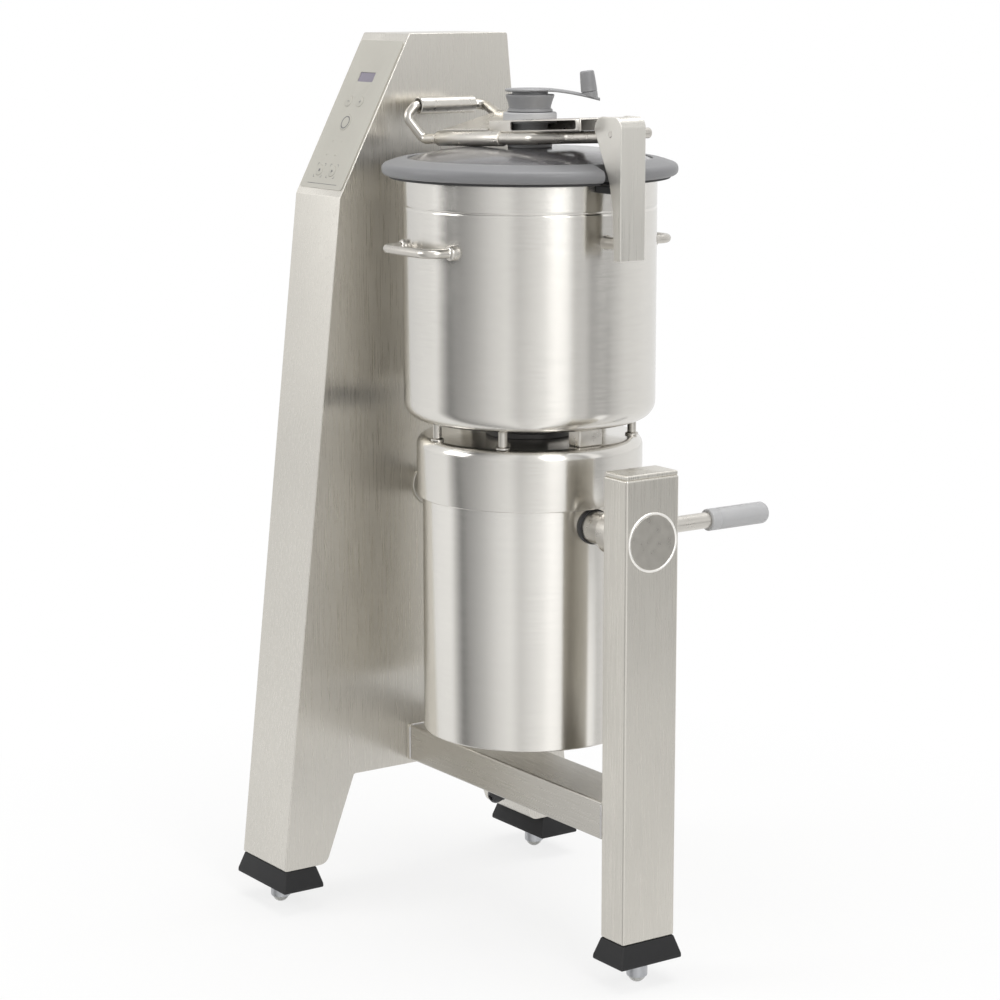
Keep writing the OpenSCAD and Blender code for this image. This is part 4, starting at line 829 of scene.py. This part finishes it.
def motor_unit():
    r, low, wall = BARREL_R, BARREL_LOW, MOTOR_WALL
    profile = arc(r - 2, low + 2, 2, -90, 0, 4)
    profile += [(r, SEAM_Z - 0.6), (r - 0.6, SEAM_Z), (r - wall, SEAM_Z), (r - wall, low)]
    barrel = lathe("barrel_shell", profile, segments=256)
    dress(barrel, "bowl", "tilt_unit", "polished_steel", "motor_barrel")
    out, top, bend = COLLAR_R, COLLAR_TOP, COLLAR_BEND
    profile = [(r - wall, SEAM_Z + 0.2), (out - 1.6, SEAM_Z + 0.2)]
    profile += arc(out - 1.6, SEAM_Z + 1.8, 1.6, -90, 0, 4) + arc(out - bend, top - bend, bend, 0, 90, 12)
    profile += [(23, top), (22, top - 0.8), (22, top - wall), (out - bend, top - wall)]
    profile += [(out - wall, top - bend), (out - wall, SEAM_Z + 3), (r - wall, SEAM_Z + 3)]
    collar = lathe("collar_shell", profile, segments=256)
    dress(collar, "bowl", "tilt_unit", "polished_steel", "motor_collar")
    arms = []
    for way, end in ((1, 268), (-1, 274)):
        profile = [(9, 140), (21.7, 140), (21.7, 186), (20.9, 187), (JOURNAL_R, 187)]
        profile += [(JOURNAL_R, end - 1), (JOURNAL_R - 1, end), (9, end)]
        arms.append(lathe("arm", profile, (0, 0, PIVOT_Z), (way, 0, 0), 96))
    dress(join("trunnion_pair", arms), "disc", "tilt_unit", "polished_steel", "tilt_trunnions")
    boss = [
        (14.05, top - 9), (22, top - 9), (22, top), (59, top), (60, top + 1), (60, top + 7), (59, top + 8),
        (31, top + 16.6), (29, top + 17), (25.7, top + 17.2), (25.7, BOWL_LOW + 13), (24.7, BOWL_LOW + 14),
        (14.6, BOWL_LOW + 14), (14.5, top), (14.05, top),
    ]
    dress(lathe("boss_shell", boss), "dark", "tilt_unit", "dark_plastic", "centring_boss")
    stud = [(0, top), (9, top), (9, top + 2), (8, top + 3), (6, top + 3.5), (6, REST_TOP - 1.4)]
    stud += [(5, REST_TOP), (0, REST_TOP)]
    supports = []
    for w in STUD_ANGLES:
        x, y = arc(0, 0, STUD_REACH, w, w, 1)[0]
        supports.append(lathe("stud", stud, (x, y, 0), None, 48))
    for x in (-LUG_X, LUG_X):
        supports.append(bevel(block("lug", (x - 13, -19, top), (x + 13, 19, REST_TOP)), 2.5, 4))
    dress(join("bowl_rests", supports), "bright", "tilt_unit", "polished_steel", "bowl_supports")


LEVER_AT = (200, 0, PIVOT_Z)
LEVER_R = 11
GRIP_LOW = 152
GRIP_TOP = 253


def tilt_lever():
    hub = mirrored([(17.55, 10), (18.5, 11), (28, 11), (30, 9)])
    fillet = [(11, 26), (14.5, 27.5), (12.4, 30.5), (11.05, 34), (10, 34), (10, 26)]
    parts = [
        lathe("hub", hub, LEVER_AT, ALONG_X, 96),
        lathe("rod", rod_profile(LEVER_R, 24, 165), LEVER_AT, ALONG_Y, 64),
        lathe("fillet", fillet, LEVER_AT, ALONG_Y, 64),
    ]
    dress(join("lever_arm", parts), "bright", "tilt_unit", "polished_steel", "tilt_lever")
    bore = LEVER_R + 0.02
    profile = [(bore, GRIP_LOW)] + arc(13.4, GRIP_LOW + 1.6, 1.6, -90, 0, 4)
    profile += [(15, 166), (14.7, 166.6), (14.7, 167.8), (15, 168.4)]
    profile += arc(7, GRIP_TOP - 8, 8, 0, 90, 10) + [(0, GRIP_TOP), (0, 165), (bore, 165)]
    grip = lathe("lever_sleeve", profile, LEVER_AT, ALONG_Y, 96)
    dress(grip, "grip", "tilt_unit", "grey_plastic", "lever_grip")


# Bowl

BOWL_WALL = 2.0
BOWL_BEND = 24
GROOVE_Z = 1026
GROOVE_DEPTH = 0.8
CHIMNEY_R = 26
CHIMNEY_TOP = 887
HANDLE_Z = 974
HANDLE_HALF = 57
HANDLE_BAR = 200.8
HANDLE_R = 6
ARM_PIN = Vector((205, 0, 1130))
BRACKET_HALF = 20
BRACKET_IN = 18


def bowl():
    wall, low = BOWL_WALL, BOWL_LOW
    lip = wall / 2
    groove = [(0, 4), (0, 2.2), (0.35, 1.2), (GROOVE_DEPTH, 0.6)]
    profile = [(CHIMNEY_R, low)] + arc(BOWL_R - BOWL_BEND, low + BOWL_BEND, BOWL_BEND, -90, 0, 16)
    profile.append((BOWL_R, low + BOWL_BEND + 2))
    profile += [(BOWL_R - depth, GROOVE_Z - h) for depth, h in groove]
    profile += [(BOWL_R - depth, GROOVE_Z + h) for depth, h in reversed(groove)]
    profile += [(BOWL_R, RIM_Z - 3)] + arc(BOWL_R - lip, RIM_Z - lip, lip, 0, 180, 8)
    profile += arc(BOWL_R - BOWL_BEND, low + BOWL_BEND, BOWL_BEND - wall, 0, -90, 16)
    profile += arc(CHIMNEY_R + wall + 5, low + wall + 5, 5, 270, 180, 6)
    profile += arc(CHIMNEY_R + lip, CHIMNEY_TOP, lip, 0, 180, 6)
    dress(lathe("bowl_shell", profile, segments=256), "bowl", "bowl", "polished_steel", "bowl")


def trim_to_bowl(obj):
    """Cuts off what lies inside the bowl's wall."""
    return carve(obj, [lathe("bowl_space", rod_profile(BOWL_R - 1, 900, 1020), segments=256)])


def bowl_handles():
    pad = [(0, 0), (10, 0), (10, 17.5), (9.4, 19.4), (8, 20.6), (6.6, 21.2), (6.02, 22.6), (0, 22.6)]
    parts = []
    h = HANDLE_HALF
    stops = [(-h, 154), (-h, HANDLE_BAR), (h, HANDLE_BAR), (h, 155)]
    for side in (-1, 1):
        line = bent_line([(x, side * y, HANDLE_Z) for x, y in stops], 20)
        parts.append(trim_to_bowl(sweep("bar", line, HANDLE_R, 32)))
        for x in (-h, h):
            parts.append(trim_to_bowl(lathe("pad", pad, (x, side * 150, HANDLE_Z), (0, side, 0), 48)))
    dress(join("handle_bars", parts), "bright", "bowl", "polished_steel", "bowl_handles")


def hinge_bracket():
    outer = [(214.5, 968), (228, 968), (228, 1138)] + arc(214, 1138, 14, 0, 90, 12)
    outer += arc(189, 1134, 18, 90, 180, 10) + [(180, 1116), (204, 1067), (211, 1034)]
    inner = [(100, 900), (226, 900), (226, 1138)] + arc(214, 1138, 12, 0, 90, 12) + [(214, 1170), (100, 1170)]
    shell = prism("bracket_shell", outer, -BRACKET_HALF, BRACKET_HALF, "y")
    carve(shell, [prism("inner", inner, -BRACKET_IN, BRACKET_IN, "y")])
    bevel(shell, 0.9, 3, 40)
    dress(shell, "bracket", "bowl", "polished_steel", "hinge_bracket")
    profile = [(0, 170.6), (9.5, 170.6), (9.5, 172.5), (8, 175), (8, 223), (9.2, 225.9), (0, 225.9)]
    spacer = lathe("bracket_spacer", profile, (0, 0, 988), ALONG_X, 64)
    dress(spacer, "bright", "bowl", "polished_steel")
    profile = [(0, -20.6), (3.8, -20.6), (5, -19.6), (5, 20), (7, 20.2), (7, 23), (6.4, 23.6), (6.4, 25)]
    profile += [(7, 25.6)] + arc(4, 41, 3, 0, 90, 6) + [(0, 44)]
    pin = lathe("pin_shell", profile, ARM_PIN, ALONG_Y, 64)
    dress(pin, "bright", "bowl", "bearing_steel", "hinge_pin")
    pad = block("pad_shell", (171.5, -17.8, RIM_Z - 9.7), (225.8, 17.8, RIM_Z - 0.7))
    bevel(pad, 1.2, 3)
    dress(pad, "rubber", "bowl", "black_rubber", "bracket_pad")


# Lid

DOME_R = 165
DOME_TOP = 1103
DOME_DROP = 15.5
DOME_T = 3
DOME_HOLE = 14.2
DOME_STEPS = 24


def lid_notch():
    """The space for the hinge bracket in the ring and the seal."""
    return block("notch", (174, -22.5, 1050), (230, 22.5, 1110))


def lid():
    low, top = RING_LOW, RING_TOP
    profile = [(DOME_R, low)] + arc(RING_R - 7, low + 7, 7, -90, 0) + arc(RING_R - 8, top - 14, 8, 0, 72)
    profile += [(184, top - 2.9), (176, top - 0.7), (172, top), (166.2, top), (DOME_R, top - 0.9)]
    profile += [(DOME_R, top - 6), (162.6, top - 6), (162, top - 6.6), (162, low + 3)]
    ring = carve(lathe("ring_shell", profile, segments=256), [lid_notch()])
    dress(ring, "ring", "lid", "grey_plastic", "lid_ring")
    profile = [(163, low - 0.2), (163, low - 2.4), (164, low - 3.4), (169, low - 2.8), (172, low - 3.4)]
    profile += [(189, low - 3.4), (190, low - 2.4), (190, low - 0.2)]
    seal = carve(lathe("seal_shell", profile, segments=256), [lid_notch()])
    dress(seal, "rubber", "lid", "black_rubber", "lid_seal")
    top_side = []
    for k in range(DOME_STEPS + 1):
        r = DOME_HOLE + (DOME_R - 0.1 - DOME_HOLE) * k / DOME_STEPS
        top_side.append((r, DOME_TOP - DOME_DROP * (r / DOME_R) ** 4))
    dome = top_side + [(r, z - DOME_T) for r, z in reversed(top_side)]
    dress(lathe("dome_shell", dome, segments=192), "dome", "lid", "smoky_clear", "lid_dome")


def lid_hub():
    profile = [
        (10.2, 1095), (21, 1095), (22, 1096), (22, 1099.9), (14, 1099.9), (14, 1103.1), (29, 1103.1),
        (30, 1104), (30, 1107), (29, 1108), (24, 1109), (24, 1136), (34.5, 1136), (36, 1137.5),
        (36, 1148.6), (34.6, 1150), (11, 1150), (10.2, 1149),
    ]
    dress(lathe("hub_shell", profile), "grip", "lid", "grey_plastic", "lid_hub")


# The arm's own frame has its origin at the hinge pin and falls towards the lid's middle
ARM_TURN = Matrix.Rotation(math.radians(-3.2), 4, "Y")
ARM_HALF = 40
TUBE_R = 8
LOOP_R = 7
FERRULE_R = 10.5


def arm(x, y, z):
    """A place in the arm's own frame, in millimetres from the bowl's axis."""
    return ARM_PIN + (ARM_TURN @ Vector((x, y, z)))


def arm_bar(name, places, bend, radius, sides):
    """A bent bar along places of the arm."""
    return sweep(name, bent_line([arm(*p) for p in places], bend), radius, sides)


def ferrule(a, b):
    """A sleeve with rounded rims between two places of the arm."""
    a, b = arm(*a), arm(*b)
    r, length = FERRULE_R, (b - a).length
    profile = [(0, 0), (r - 1.5, 0), (r - 0.4, 0.5), (r, 1.6), (r, length - 1.6), (r - 0.4, length - 0.5)]
    profile += [(r - 1.8, length), (0, length)]
    return lathe("ferrule", profile, a, b - a, 64)


def lid_arm():
    y = ARM_HALF
    front = [(-340, -y, -1.5), (-145, -y, -3.5), (-99, -12, -3.5), (-35, -9, -3.5), (0, -9, 0)]
    rear = [(-322, y, 24.4), (-243, y, 18), (-165, y, -3.5), (-145, y, -3.5), (-99, 12, -3.5)]
    rear += [(-35, 9, -3.5), (0, 9, 0)]
    loop = [(-355, -y, -1.2), (-401, -42, -1.6), (-412, -62, 30), (-408, -50, 44.8), (-408, 66, 44.8)]
    loop.append((-326, y, 24.8))
    eye = mirrored([(5.1, 17), (5.8, 17.6), (9.2, 17.6), (10, 16.8)])
    parts = [
        arm_bar("front", front, 24, TUBE_R, 36),
        arm_bar("rear", rear, 20, TUBE_R, 36),
        arm_bar("loop", loop, [10, 10, 10, 14], LOOP_R, 32),
        ferrule((-365, -y, -1), (-212, -y, -2.75)),
        ferrule((-335, y, 25.5), (-243, y, 18)),
        lathe("eye", eye, ARM_PIN, ALONG_Y, 64),
    ]
    dress(join("arm_tubes", parts), "bright", "lid", "polished_steel", "lid_arm")


YOKE_T = 2


def arm_yoke():
    place = Matrix.Translation(at(*ARM_PIN)) @ ARM_TURN
    t = YOKE_T
    outer = block("yoke_shell", (-243, -41, 4.5), (-36, 31.5, 21.5), place)
    inner = block("inner", (-243 + t, -41 + t, -5), (0, 31.5 - t, 21.5 - t), place)
    window = prism("window", rounded(rectangle(-192, 7.5, -45, 19.5), [4] * 4), -60, -30, "y", place)
    shaft = lathe("shaft_hole", rod_profile(24.2, 1080, 1180), segments=96)
    bevel(outer, 2.0, 4)
    settle(outer)
    carve(outer, [inner, window, shaft])
    weld(outer)
    dress(outer, "bright", "lid", "polished_steel", "arm_yoke")


SADDLE_FROM = -352
SADDLE_TO = -244
SADDLE_HALF = 43
SADDLE_ACROSS = 14
SADDLE_ALONG = 8


def saddle_plate():
    """The bright sheet that slopes from the front ferrule's top up to the rear one's."""
    across, along = SADDLE_ACROSS, SADDLE_ALONG
    verts, faces = [], []
    for rise in (1.2, -0.6):
        for i in range(along + 1):
            t = i / along
            x = SADDLE_FROM + (SADDLE_TO - SADDLE_FROM) * t
            low = 10.6 - 1.0 * t
            high = 30.4 - 9.0 * t
            for k in range(across + 1):
                s = k / across
                ease = s * s * (3 - 2 * s)
                z = low + (high - low) * (0.35 * ease + 0.65 * s) + rise
                verts.append(at(*arm(x, SADDLE_HALF * (2 * s - 1), z)))
    row = across + 1
    base = row * (along + 1)
    for i in range(along):
        for k in range(across):
            a = i * row + k
            faces.append([a, a + 1, a + row + 1, a + row])
            faces.append([base + a + row, base + a + row + 1, base + a + 1, base + a])
    rim = [k for k in range(row)] + [i * row + across for i in range(1, along + 1)]
    rim += [along * row + k for k in range(across - 1, -1, -1)] + [i * row for i in range(along - 1, 0, -1)]
    for a, b in zip(rim, rim[1:] + rim[:1]):
        faces.append([a, base + a, base + b, b])
    obj = weld(make_object("saddle_sheet", verts, faces))
    bevel(obj, 0.5, 2, 50)
    dress(obj, "bright", "lid", "polished_steel")


def arm_trim():
    head = screw_head("yoke_screw", arm(-232, -10, 21.4), ARM_TURN @ Vector((0, 0, 1)), 4.0, 1.6, 1.3)
    dress(head, "ground", "lid", "bearing_steel")
    profile = mirrored([(7.1, 40), (9.6, 40), (9.6, 45.2), (10.2, 46), (11.2, 46), (12, 45.2)])
    sleeve = lathe("sleeve_shell", profile, arm(-408, 0, 44.8), ALONG_Y, 96)
    dress(sleeve, "bright", "sleeve", "polished_steel", "arm_sleeve")


# Crank and knob

CRANK_TURN = Matrix.Rotation(math.radians(50), 4, "Z")
CRANK_TOP = 1181
CRANK_T = 4.0
CRANK_TIP = 94
TIP_R = 8.5
HEAD_R = 33.6
HEAD_BACK = -33
CRANK_SECTIONS = 26
CRANK_AROUND = 20
KNOB_REACH = 80
KNOB_R = 10.95
KNOB_SEAT = 4.4
SEAT_SLOPE = math.tan(math.radians(20.6))


def crank_face(r):
    """Level of the crank's upper face at a distance from its axis."""
    return CRANK_TOP - 12 * (max(r - 28, 0) / 66) ** 1.5


def crank_half(x):
    """Half the crank's width at a distance along it."""
    middle = CRANK_TIP - TIP_R
    if x < 0:
        return math.sqrt(max(HEAD_R ** 2 - x * x, 0.4))
    if x > middle:
        return math.sqrt(max(TIP_R ** 2 - (x - middle) ** 2, 0.3))
    taper = 26 - (26 - TIP_R) * min(x / 85, 1)
    blend = max(0.0, 1 - x / 30)
    return max(taper, math.sqrt(max(HEAD_R ** 2 - x * x, 0)) * blend + taper * (1 - blend))


def crank_arm_plate():
    """The drooping arm: a plate whose width narrows from the hub to a round tip."""
    def squared(v):
        return math.copysign(abs(v) ** 0.55, v)

    verts = []
    for i in range(CRANK_SECTIONS + 1):
        x = HEAD_BACK + (CRANK_TIP - HEAD_BACK) * i / CRANK_SECTIONS
        half = crank_half(x)
        middle = crank_face(x) - CRANK_T / 2
        for k in range(CRANK_AROUND):
            w = 2 * math.pi * k / CRANK_AROUND
            y = half * squared(math.cos(w))
            z = middle + CRANK_T / 2 * squared(math.sin(w))
            verts.append(at(*(CRANK_TURN @ Vector((x, y, z)))))
    return weld(make_object("plate", verts, ring_faces(CRANK_SECTIONS + 1, CRANK_AROUND), 50))


def knob_frame():
    p = CRANK_TURN @ Vector((KNOB_REACH, 0, crank_face(KNOB_REACH)))
    return Matrix.Translation(at(*p)) @ CRANK_TURN @ Matrix.Rotation(math.radians(-7), 4, "Y")


def knob_seat():
    """The round seat that rises square to the knob out of the crank's sloping face."""
    steps = 48
    verts = []
    for r, level in ((KNOB_R, None), (KNOB_R, KNOB_SEAT - 0.6), (10.3, KNOB_SEAT)):
        for x, y in arc(0, 0, r, 0, 360, steps)[:-1]:
            z = -x * SEAT_SLOPE - 1.6 if level is None else level
            verts.append(Vector((x, y, z)) * MM)
    obj = make_object("seat", verts, ring_faces(3, steps))
    obj.data.transform(knob_frame())
    return obj


def crank():
    body = [
        (10.2, 1150.4), (29.6, 1150.4), (31, 1151.6), (30.2, 1153.4), (28, 1155.4), (28.6, 1159),
        (30.6, 1165.5), (32.6, 1171), (32.8, 1172.6), (32, 1173.4), (24.2, 1173.6), (24.2, 1177.4),
        (10.2, 1177.4),
    ]
    cap = [(0, 1178), (22, 1178), (31.5, 1178), (33.4, 1179), (33.4, 1180), (32, 1181.1), (24, 1181.4)]
    cap += [(22, 1181), (0, 1181)]
    stud = lathe("stud", rod_profile(3, 0, 16), segments=32, matrix=knob_frame())
    parts = [lathe("body", body), lathe("cap", cap), crank_arm_plate(), knob_seat(), stud]
    dress(join("crank_shell", parts), "grey", "crank", "grey_plastic", "wiper_crank")
    low = KNOB_SEAT + 0.3
    profile = [(3.1, low), (10.2, low), (KNOB_R, low + 0.8), (10.6, low + 9), (10.1, low + 18)]
    profile += [(9.6, low + 24.5)] + arc(7.0, low + 25.4, 2.5, 10, 90, 6)
    profile += [(0, low + 28), (0, low + 12), (3.1, low + 12)]
    knob = lathe("knob_shell", profile, segments=64, matrix=knob_frame())
    dress(knob, "grey", "knob", "grey_plastic", "crank_knob")


# Camera, studio and floor

CAMERA_AT = (3012.59, -2141.6, 1326.98)
CAMERA_TURN = (55.22, 10.83, 0.04)
FOCAL_SHARE = 2.7311
SENSOR = 36


def camera():
    """The photograph's camera: far, and slightly above the machine's middle."""
    yaw, pitch, roll = (math.radians(angle) for angle in CAMERA_TURN)
    data = bpy.data.cameras.new("camera")
    data.sensor_width = SENSOR
    data.lens = FOCAL_SHARE * SENSOR
    data.clip_end = 60
    obj = bpy.data.objects.new("camera", data)
    bpy.context.scene.collection.objects.link(obj)
    turn = Matrix.Rotation(yaw, 4, "Z") @ Matrix.Rotation(math.pi / 2 - pitch, 4, "X")
    obj.matrix_world = Matrix.Translation(at(*CAMERA_AT)) @ turn @ Matrix.Rotation(-roll, 4, "Z")
    bpy.context.scene.camera = obj


# Azimuths in degrees round the object, and how bright the studio looks there in metal
STUDIO = [
    (-180, 0.8), (-150, 0.98), (-129, 1.0), (-121, 0.45), (-113, 0.04), (-105, 0.26), (-86, 0.55),
    (-70, 0.85), (-56, 1.0), (-45, 0.72), (-34, 0.9), (-22, 1.05), (-12, 1.35), (-2, 1.25), (6, 0.7),
    (16, 0.75), (22, 0.45), (34, 0.45), (60, 0.9), (90, 1.0), (140, 0.95), (180, 0.8),
]
# Heights as sines, and how bright the studio looks there at the azimuths of the side view
HEIGHTS = [
    (-0.40, 1.3), (-0.30, 1.3), (-0.25, 0.9), (-0.19, 0.10), (-0.10, 0.14), (-0.05, 0.8), (0.0, 1.3),
    (0.2, 1.2),
]
# Azimuths, and how far the heights' brightness takes the place of the studio's there
SIDE_VIEW = [(-180, 0), (26, 0), (31, 1), (39, 1), (45, 0)]
DIFFUSE_LEVEL = 0.55
FLOOR_HALF = 15
FLOOR_COLOUR = (0.86, 0.86, 0.85, 1)
FADE_FROM = 0.78
FADE_TO = 1.0
FLOOR_CLEAR = 0.85
LAMP_AIM = (0, 0, 0.65)
# Place, size and power
STUDIO_LAMPS = {
    "key_light": ((3.4, -0.6, 2.6), (1.2, 2.4), 46),
    "fill_light": ((-1.8, -3.6, 2.4), (2.0, 2.0), 55),
    "top_light": ((0.2, 0.4, 3.8), (2.4, 2.4), 60),
}


def level_ramp(tree, value, stops, low, high):
    """A grey ramp with its stops between low and high."""
    node = add(tree, "ValToRGB", {"Fac": remap(tree, value, 0.0, 1.0, low, high)})
    elements = node.color_ramp.elements
    while len(elements) > 1:
        elements.remove(elements[-1])
    for i, (place, level) in enumerate(stops):
        position = (place - low) / (high - low)
        element = elements[0] if i == 0 else elements.new(position)
        element.position = position
        element.color = (level, level, level, 1)
    return node.outputs["Color"]


def world():
    """White to the camera, and a studio of bright and dark stripes in reflections."""
    made = bpy.data.worlds.new("studio")
    bpy.context.scene.world = made
    made.use_nodes = True
    tree = made.node_tree
    coord = add(tree, "TexCoord")
    split = add(tree, "SeparateXYZ", {"Vector": coord.outputs["Generated"]})
    angle = add(tree, "Math", {0: split.outputs["Y"], 1: split.outputs["X"]}, operation="ARCTAN2")
    turn = add(tree, "Math", {0: angle.outputs["Value"]}, operation="DEGREES").outputs["Value"]
    side = level_ramp(tree, turn, SIDE_VIEW, -180, 180)
    studio = level_ramp(tree, turn, STUDIO, -180, 180)
    heights = level_ramp(tree, split.outputs["Z"], HEIGHTS, -0.4, 0.2)
    path = add(tree, "LightPath")
    stripes = mix(tree, side, studio, heights)
    ambient = mix(tree, path.outputs["Is Glossy Ray"], (*shade(WHITE, DIFFUSE_LEVEL), 1), stripes)
    rays = {0: path.outputs["Is Camera Ray"], 1: path.outputs["Is Transmission Ray"]}
    seen = add(tree, "Math", rays, operation="MAXIMUM").outputs["Value"]
    colour = mix(tree, seen, ambient, (*WHITE, 1))
    feed(tree, tree.nodes["Background"], {"Color": colour, "Strength": 1.0})


def floor():
    """A pale floor that keeps the object's shadow, turns white further out and is faint in reflections."""
    corners = rectangle(-FLOOR_HALF, -FLOOR_HALF, FLOOR_HALF, FLOOR_HALF)
    obj = make_object("floor", [(x, y, FLOOR_Z) for x, y in corners], [[0, 1, 2, 3]])
    mat, tree, shader = node_material("pale_floor")
    feed(tree, shader, {"Base Color": FLOOR_COLOUR, "Roughness": 0.9, "Specular IOR Level": 0.1})
    glow = add(tree, "Emission", {"Strength": 1.0})
    path = add(tree, "LightPath")
    coord = add(tree, "TexCoord")
    far = add(tree, "VectorMath", {0: coord.outputs["Object"]}, operation="LENGTH")
    amount = remap(tree, far.outputs["Value"], FADE_FROM, FADE_TO, 0.4, 1.2)
    shown = add(tree, "Math", {0: path.outputs["Is Camera Ray"], 1: amount}, operation="MULTIPLY")
    shaders = {1: shader.outputs["BSDF"], 2: glow.outputs["Emission"]}
    near = add(tree, "MixShader", {"Fac": shown.outputs["Value"], **shaders})
    clear = add(tree, "BsdfTransparent")
    share = add(tree, "Math", {0: path.outputs["Is Glossy Ray"], 1: FLOOR_CLEAR}, operation="MULTIPLY")
    shaders = {1: near.outputs["Shader"], 2: clear.outputs["BSDF"]}
    whole = add(tree, "MixShader", {"Fac": share.outputs["Value"], **shaders})
    feed(tree, tree.nodes["Material Output"], {"Surface": whole.outputs["Shader"]})
    obj.data.materials.append(mat)


def lights():
    for name, (place, size, power) in STUDIO_LAMPS.items():
        data = bpy.data.lights.new(name, "AREA")
        data.shape = "RECTANGLE"
        data.size, data.size_y = size
        data.energy = power
        obj = bpy.data.objects.new(name, data)
        obj.location = place
        obj.rotation_mode = "QUATERNION"
        obj.rotation_quaternion = (Vector(LAMP_AIM) - Vector(place)).to_track_quat("-Z", "Y")
        bpy.context.scene.collection.objects.link(obj)


bpy.context.scene.view_settings.view_transform = "Standard"

camera()
world()
floor()
lights()

column_casing()
side_cover()
cover_screws()
control_panel()
keys_and_marks()
cable_gland()
stand()
stand_welds()
feet()
motor_unit()
tilt_lever()
bowl()
bowl_handles()
hinge_bracket()
lid()
lid_hub()
lid_arm()
arm_yoke()
saddle_plate()
arm_trim()
crank()

# The CAD nodes that stay, with their detailed materials
DRESSED = {
    "stiffener_plate": "zinc", "control_board": "board", "drive_unit": "drive", "bottom_cover": "cover",
    "motor_frame": "cast", "lower_shield": "cast", "stator_core": "iron", "stator_windings": "copper",
    "motor_bearings": "ground", "trunnion_seals": "rubber", "motor_rotor": "iron", "drive_shaft": "ground",
    "cooling_fan": "dark", "blade_hub": "grey", "cutter_blades": "blade", "lid_wiper": "wiper",
}
for node_name, material_name in DRESSED.items():
    for material_slot in frame["nodes"][node_name].material_slots:
        material_slot.material = M[material_name]
